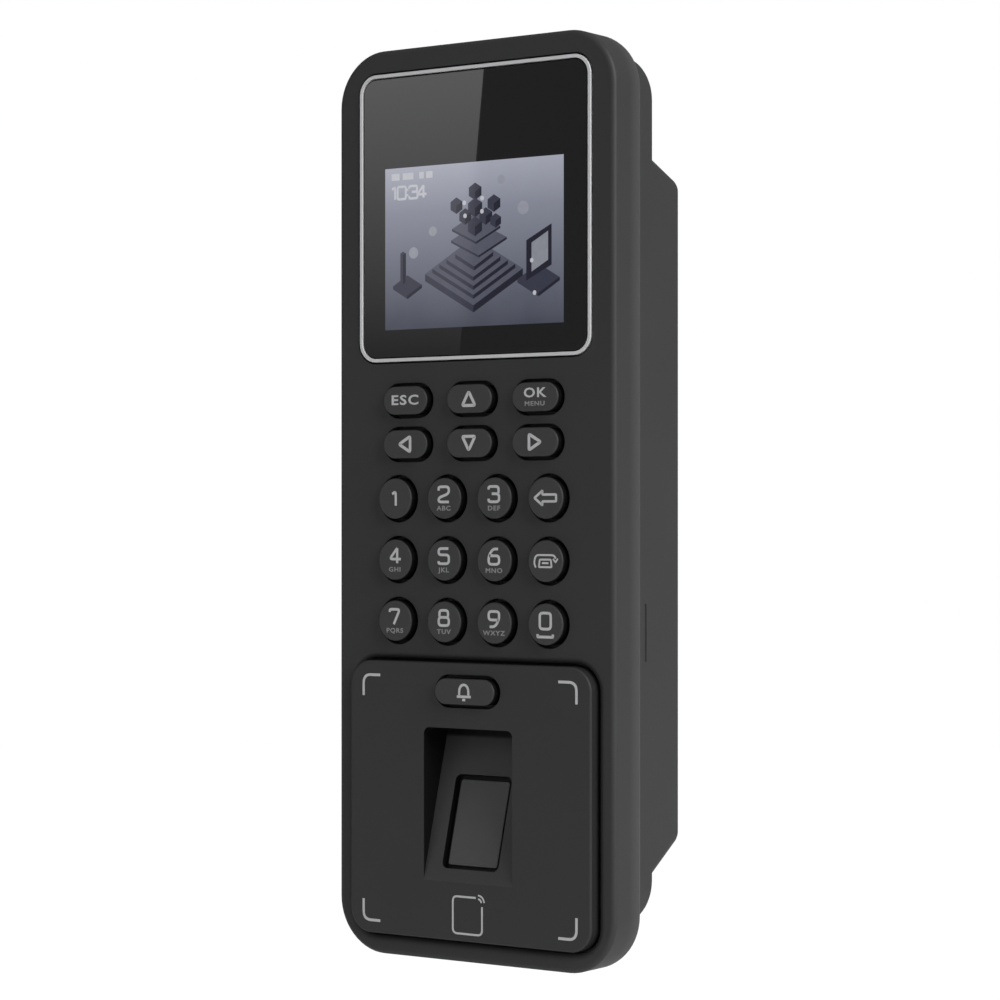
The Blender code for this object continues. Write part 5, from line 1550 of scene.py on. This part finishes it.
def make_main_board():
    """The main board with its small parts, and the pins that stand in its sockets."""
    board = Span("main_board")
    settle(refined("main_board", 0.08 * MM), ["board"], ["main_board"])
    face = board.back + 0.01 * MM
    _, cable_foot, cable_top = cable_outlet()
    rows = (
        (3.1, cable_top - 2.6 * MM, range(-6, 7)), (3.1, cable_top - 5.6 * MM, (-6, -5, -3, -2, 0, 1, 5, 6)),
        (4.0, board.top - 6 * MM, range(-4, 5)),
    )
    places = [(x * pitch * MM, face, z) for pitch, z, columns in rows for x in columns]
    chip = unit_block("chip_unit", 1.6 * MM, 0.8 * MM, 0.6 * MM, 0.15 * MM, 0.12 * MM, 2)
    settle(set_out("small_parts", places, chip, "inner", 0.12, 7), [], [])
    places = [(x * MM, face, cable_foot + 13.4 * MM) for x in (-1.0, 3.6, 20.2)]
    can = unit_block("chip_unit", 2.6 * MM, 3.2 * MM, 1.8 * MM, 0.5 * MM, 0.36 * MM, 2)
    settle(set_out("tin_cans", places, can, "tinned"), [], [])
    places = []
    for node, columns, pitch in (
        ("wiring_header", 8, 2.5), ("network_header", 4, 2.5), ("power_header", 2, 3.0)
    ):
        span = Span(node)
        steps = [column - (columns - 1) / 2 for column in range(columns)]
        places += [(span.x + step * pitch * MM, span.front + 3.0 * MM, span.z) for step in steps]
    pin = unit_block("pin_unit", 0.64 * MM, 0.64 * MM, 5.4 * MM, 0.05 * MM, 0.15 * MM, 1)
    settle(set_out("socket_pins", places, pin, "gold"), [], [])


# ---- stage


def add_light(name, place, size, power, shows_in_gloss):
    """A rectangular lamp that faces the object and that the camera doesn't see."""
    lamp = bpy.data.lights.new(name, "AREA")
    lamp.shape = "RECTANGLE"
    lamp.size, lamp.size_y = size
    lamp.energy = power
    holder = linked(name, lamp)
    holder.location = place
    holder.rotation_euler = (-Vector(place)).to_track_quat("-Z", "Y").to_euler()
    holder.visible_camera = False
    holder.visible_glossy = shows_in_gloss


CAMERA_PLACE = (0.38099, -0.56394, -0.00346)
CAMERA_TURN = 35.05
LENS = 105.56
SHIFT = 0.0174


def make_camera():
    lens = bpy.data.cameras.new("camera")
    lens.lens = LENS
    lens.sensor_width = 36.0
    lens.shift_y = SHIFT
    lens.clip_start = 0.01
    holder = linked("camera", lens)
    holder.location = CAMERA_PLACE
    holder.rotation_euler = (math.pi / 2, 0.0, math.radians(CAMERA_TURN))
    bpy.context.scene.camera = holder


def make_world():
    """White behind the object, and a softer grey for what lights it."""
    world = bpy.data.worlds.new("studio")
    world.use_nodes = True
    bpy.context.scene.world = world
    tree = world.node_tree
    seen = tree.nodes["Background"]
    lighting = tree.nodes.new("ShaderNodeBackground")
    for background, strength in ((seen, 1.0), (lighting, WORLD_LIGHT)):
        background.inputs["Color"].default_value = (1.0, 1.0, 1.0, 1.0)
        background.inputs["Strength"].default_value = strength
    path = tree.nodes.new("ShaderNodeLightPath")
    either = tree.nodes.new("ShaderNodeMixShader")
    surface = tree.nodes["World Output"].inputs["Surface"]
    for source, target in (
        (path.outputs["Is Camera Ray"], either.inputs[0]), (lighting.outputs[0], either.inputs[1]),
        (seen.outputs[0], either.inputs[2]), (either.outputs[0], surface),
    ):
        tree.links.new(source, target)


WORLD_LIGHT = 0.25
FLOOR_RADIUS = 1.0
FLOOR_DROP = 0.03


def make_floor():
    low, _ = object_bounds()
    bm = bmesh.new()
    bmesh.ops.create_circle(bm, cap_ends=True, segments=96, radius=FLOOR_RADIUS)
    bmesh.ops.translate(bm, vec=(0, 0, low[2] - FLOOR_DROP), verts=bm.verts)
    floor = as_object("floor", bm)
    made = patchy("pale_floor", (0.86, 0.86, 0.85), 0.8, (0.01, 0.05))
    glow = made.node("ShaderNodeEmission", inputs={"Strength": 1.04})
    seen = made.node("ShaderNodeLightPath", output="Is Camera Ray")
    made.veil(glow, seen * 0.97)
    floor.data.materials.append(made.material)
    floor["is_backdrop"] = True


def make_softbox():
    """A tall soft panel, seen only in reflections, that the display's glass mirrors on its left."""
    (right_foot, right_top), (left_foot, left_top) = SOFTBOX_EDGES
    points = []
    for x, z in (right_foot, right_top, left_top, left_foot):
        start = Vector((x, Span("screen_window").front, z))
        back = Vector(CAMERA_PLACE) - start
        points.append(start + Vector((-back.x, back.y, -back.z)).normalized() * SOFTBOX_DISTANCE)
    bm = bmesh.new()
    bm.faces.new([bm.verts.new(point) for point in points])
    panel = as_object("softbox", bm)
    made = Finish("softbox_glow", (0.0, 0.0, 0.0), 1.0, emission_strength=SOFTBOX_GLOW)
    low, high = min(p.z for p in points), max(p.z for p in points)
    dim_foot = made.blend(made.along("Z", low, high - low), (0.16, 0.16, 0.16), (1.0, 1.0, 1.0))
    made.set("Emission Color", dim_foot)
    panel.data.materials.append(made.material)
    panel.visible_camera = False
    panel.visible_diffuse = False
    panel.visible_shadow = False
    panel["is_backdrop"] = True


SOFTBOX_GLOW = 2.2
SOFTBOX_DISTANCE = 1.2
# Places (x, z) on the display's glass between which the softbox shows: the foot and top of its right edge,
# then of its left
SOFTBOX_EDGES = (((-0.0036, 0.033), (0.0032, 0.098)), ((-0.045, 0.033), (-0.045, 0.098)))


# Each light's name, place, size and power, and whether glossy surfaces mirror it
LIGHTS = (
    ("key_light", (1.5, -0.36, 0.85), (1.0, 1.4), 37.0, True),
    ("front_light", (-0.4, -1.8, 0.9), (1.6, 1.2), 3.8, False),
    ("rear_light", (-0.5, 1.6, 0.4), (1.6, 1.6), 18.0, False),
)


def make_stage():
    make_camera()
    make_world()
    make_floor()
    make_softbox()
    for light in LIGHTS:
        add_light(*light)
    bpy.context.scene.view_settings.view_transform = "Standard"


# ---- operators and panel


class TERMINAL_OT_front_cover(bpy.types.Operator):
    """Make the front cover with its openings for the display, the keys and the reader panel"""

    bl_idname = "terminal.front_cover"
    bl_label = "Front Cover"

    def execute(self, context):
        make_front_cover()
        return {"FINISHED"}


class TERMINAL_OT_display(bpy.types.Operator):
    """Make the silver frame, the black glass and the lit picture"""

    bl_idname = "terminal.display"
    bl_label = "Display"

    def execute(self, context):
        make_display()
        return {"FINISHED"}


class TERMINAL_OT_keys(bpy.types.Operator):
    """Make every key with its print, each on its own sliding body"""

    bl_idname = "terminal.keys"
    bl_label = "Keys"

    def execute(self, context):
        for row in KEY_ROWS:
            for node in row:
                make_key(node)
        make_key("key_bell")
        return {"FINISHED"}


class TERMINAL_OT_reader_panel(bpy.types.Operator):
    """Make the reader panel with its finger recess and printed marks"""

    bl_idname = "terminal.reader_panel"
    bl_label = "Reader Panel"

    def execute(self, context):
        make_reader_panel()
        make_antenna()
        return {"FINISHED"}


class TERMINAL_OT_sensor(bpy.types.Operator):
    """Make the fingerprint sensor's glass, housing, board and cable"""

    bl_idname = "terminal.sensor"
    bl_label = "Fingerprint Sensor"

    def execute(self, context):
        make_sensor()
        return {"FINISHED"}


class TERMINAL_OT_rear_cover(bpy.types.Operator):
    """Make the rear cover with its box, wells, slots and cable opening"""

    bl_idname = "terminal.rear_cover"
    bl_label = "Rear Cover"

    def execute(self, context):
        make_rear_cover()
        return {"FINISHED"}


class TERMINAL_OT_wall_plate(bpy.types.Operator):
    """Make the wall plate from its galvanised sheet"""

    bl_idname = "terminal.wall_plate"
    bl_label = "Wall Plate"

    def execute(self, context):
        make_wall_plate()
        return {"FINISHED"}


class TERMINAL_OT_screws(bpy.types.Operator):
    """Make the case screws, the board screws and the fixing screw"""

    bl_idname = "terminal.screws"
    bl_label = "Screws"

    def execute(self, context):
        make_screws()
        return {"FINISHED"}


class TERMINAL_OT_inner_parts(bpy.types.Operator):
    """Make the boards, sockets, cables, seals and small parts inside"""

    bl_idname = "terminal.inner_parts"
    bl_label = "Inner Parts"

    def execute(self, context):
        make_inner_parts()
        make_main_board()
        return {"FINISHED"}


class TERMINAL_OT_stage(bpy.types.Operator):
    """Set the camera, the lights and the pale floor"""

    bl_idname = "terminal.stage"
    bl_label = "Stage"

    def execute(self, context):
        make_stage()
        return {"FINISHED"}


OPERATORS = (
    TERMINAL_OT_front_cover, TERMINAL_OT_display, TERMINAL_OT_keys, TERMINAL_OT_reader_panel,
    TERMINAL_OT_sensor, TERMINAL_OT_rear_cover, TERMINAL_OT_wall_plate, TERMINAL_OT_screws,
    TERMINAL_OT_inner_parts, TERMINAL_OT_stage,
)


class TERMINAL_PT_pieces(bpy.types.Panel):
    """Lists the sizes, the colours and the pieces of the terminal"""

    bl_idname = "TERMINAL_PT_pieces"
    bl_label = "Terminal"
    bl_space_type = "VIEW_3D"
    bl_region_type = "UI"
    bl_category = "Terminal"

    def draw(self, context):
        for group in (context.scene.terminal_sizes, context.scene.terminal_colours):
            for name in group.bl_rna.properties.keys():
                if name not in ("rna_type", "name"):
                    self.layout.prop(group, name)
        for operator in OPERATORS:
            self.layout.operator(operator.bl_idname)


CLASSES = (TerminalSizes, TerminalColours, *OPERATORS, TERMINAL_PT_pieces)


def register():
    for cls in CLASSES:
        bpy.utils.register_class(cls)
    bpy.types.Scene.terminal_sizes = bpy.props.PointerProperty(type=TerminalSizes)
    bpy.types.Scene.terminal_colours = bpy.props.PointerProperty(type=TerminalColours)


def unregister():
    del bpy.types.Scene.terminal_colours
    del bpy.types.Scene.terminal_sizes
    for cls in reversed(CLASSES):
        bpy.utils.unregister_class(cls)


def main():
    register()
    for operator in OPERATORS:
        group, name = operator.bl_idname.split(".")
        getattr(getattr(bpy.ops, group), name)()


if __name__ == "__main__":
    main()
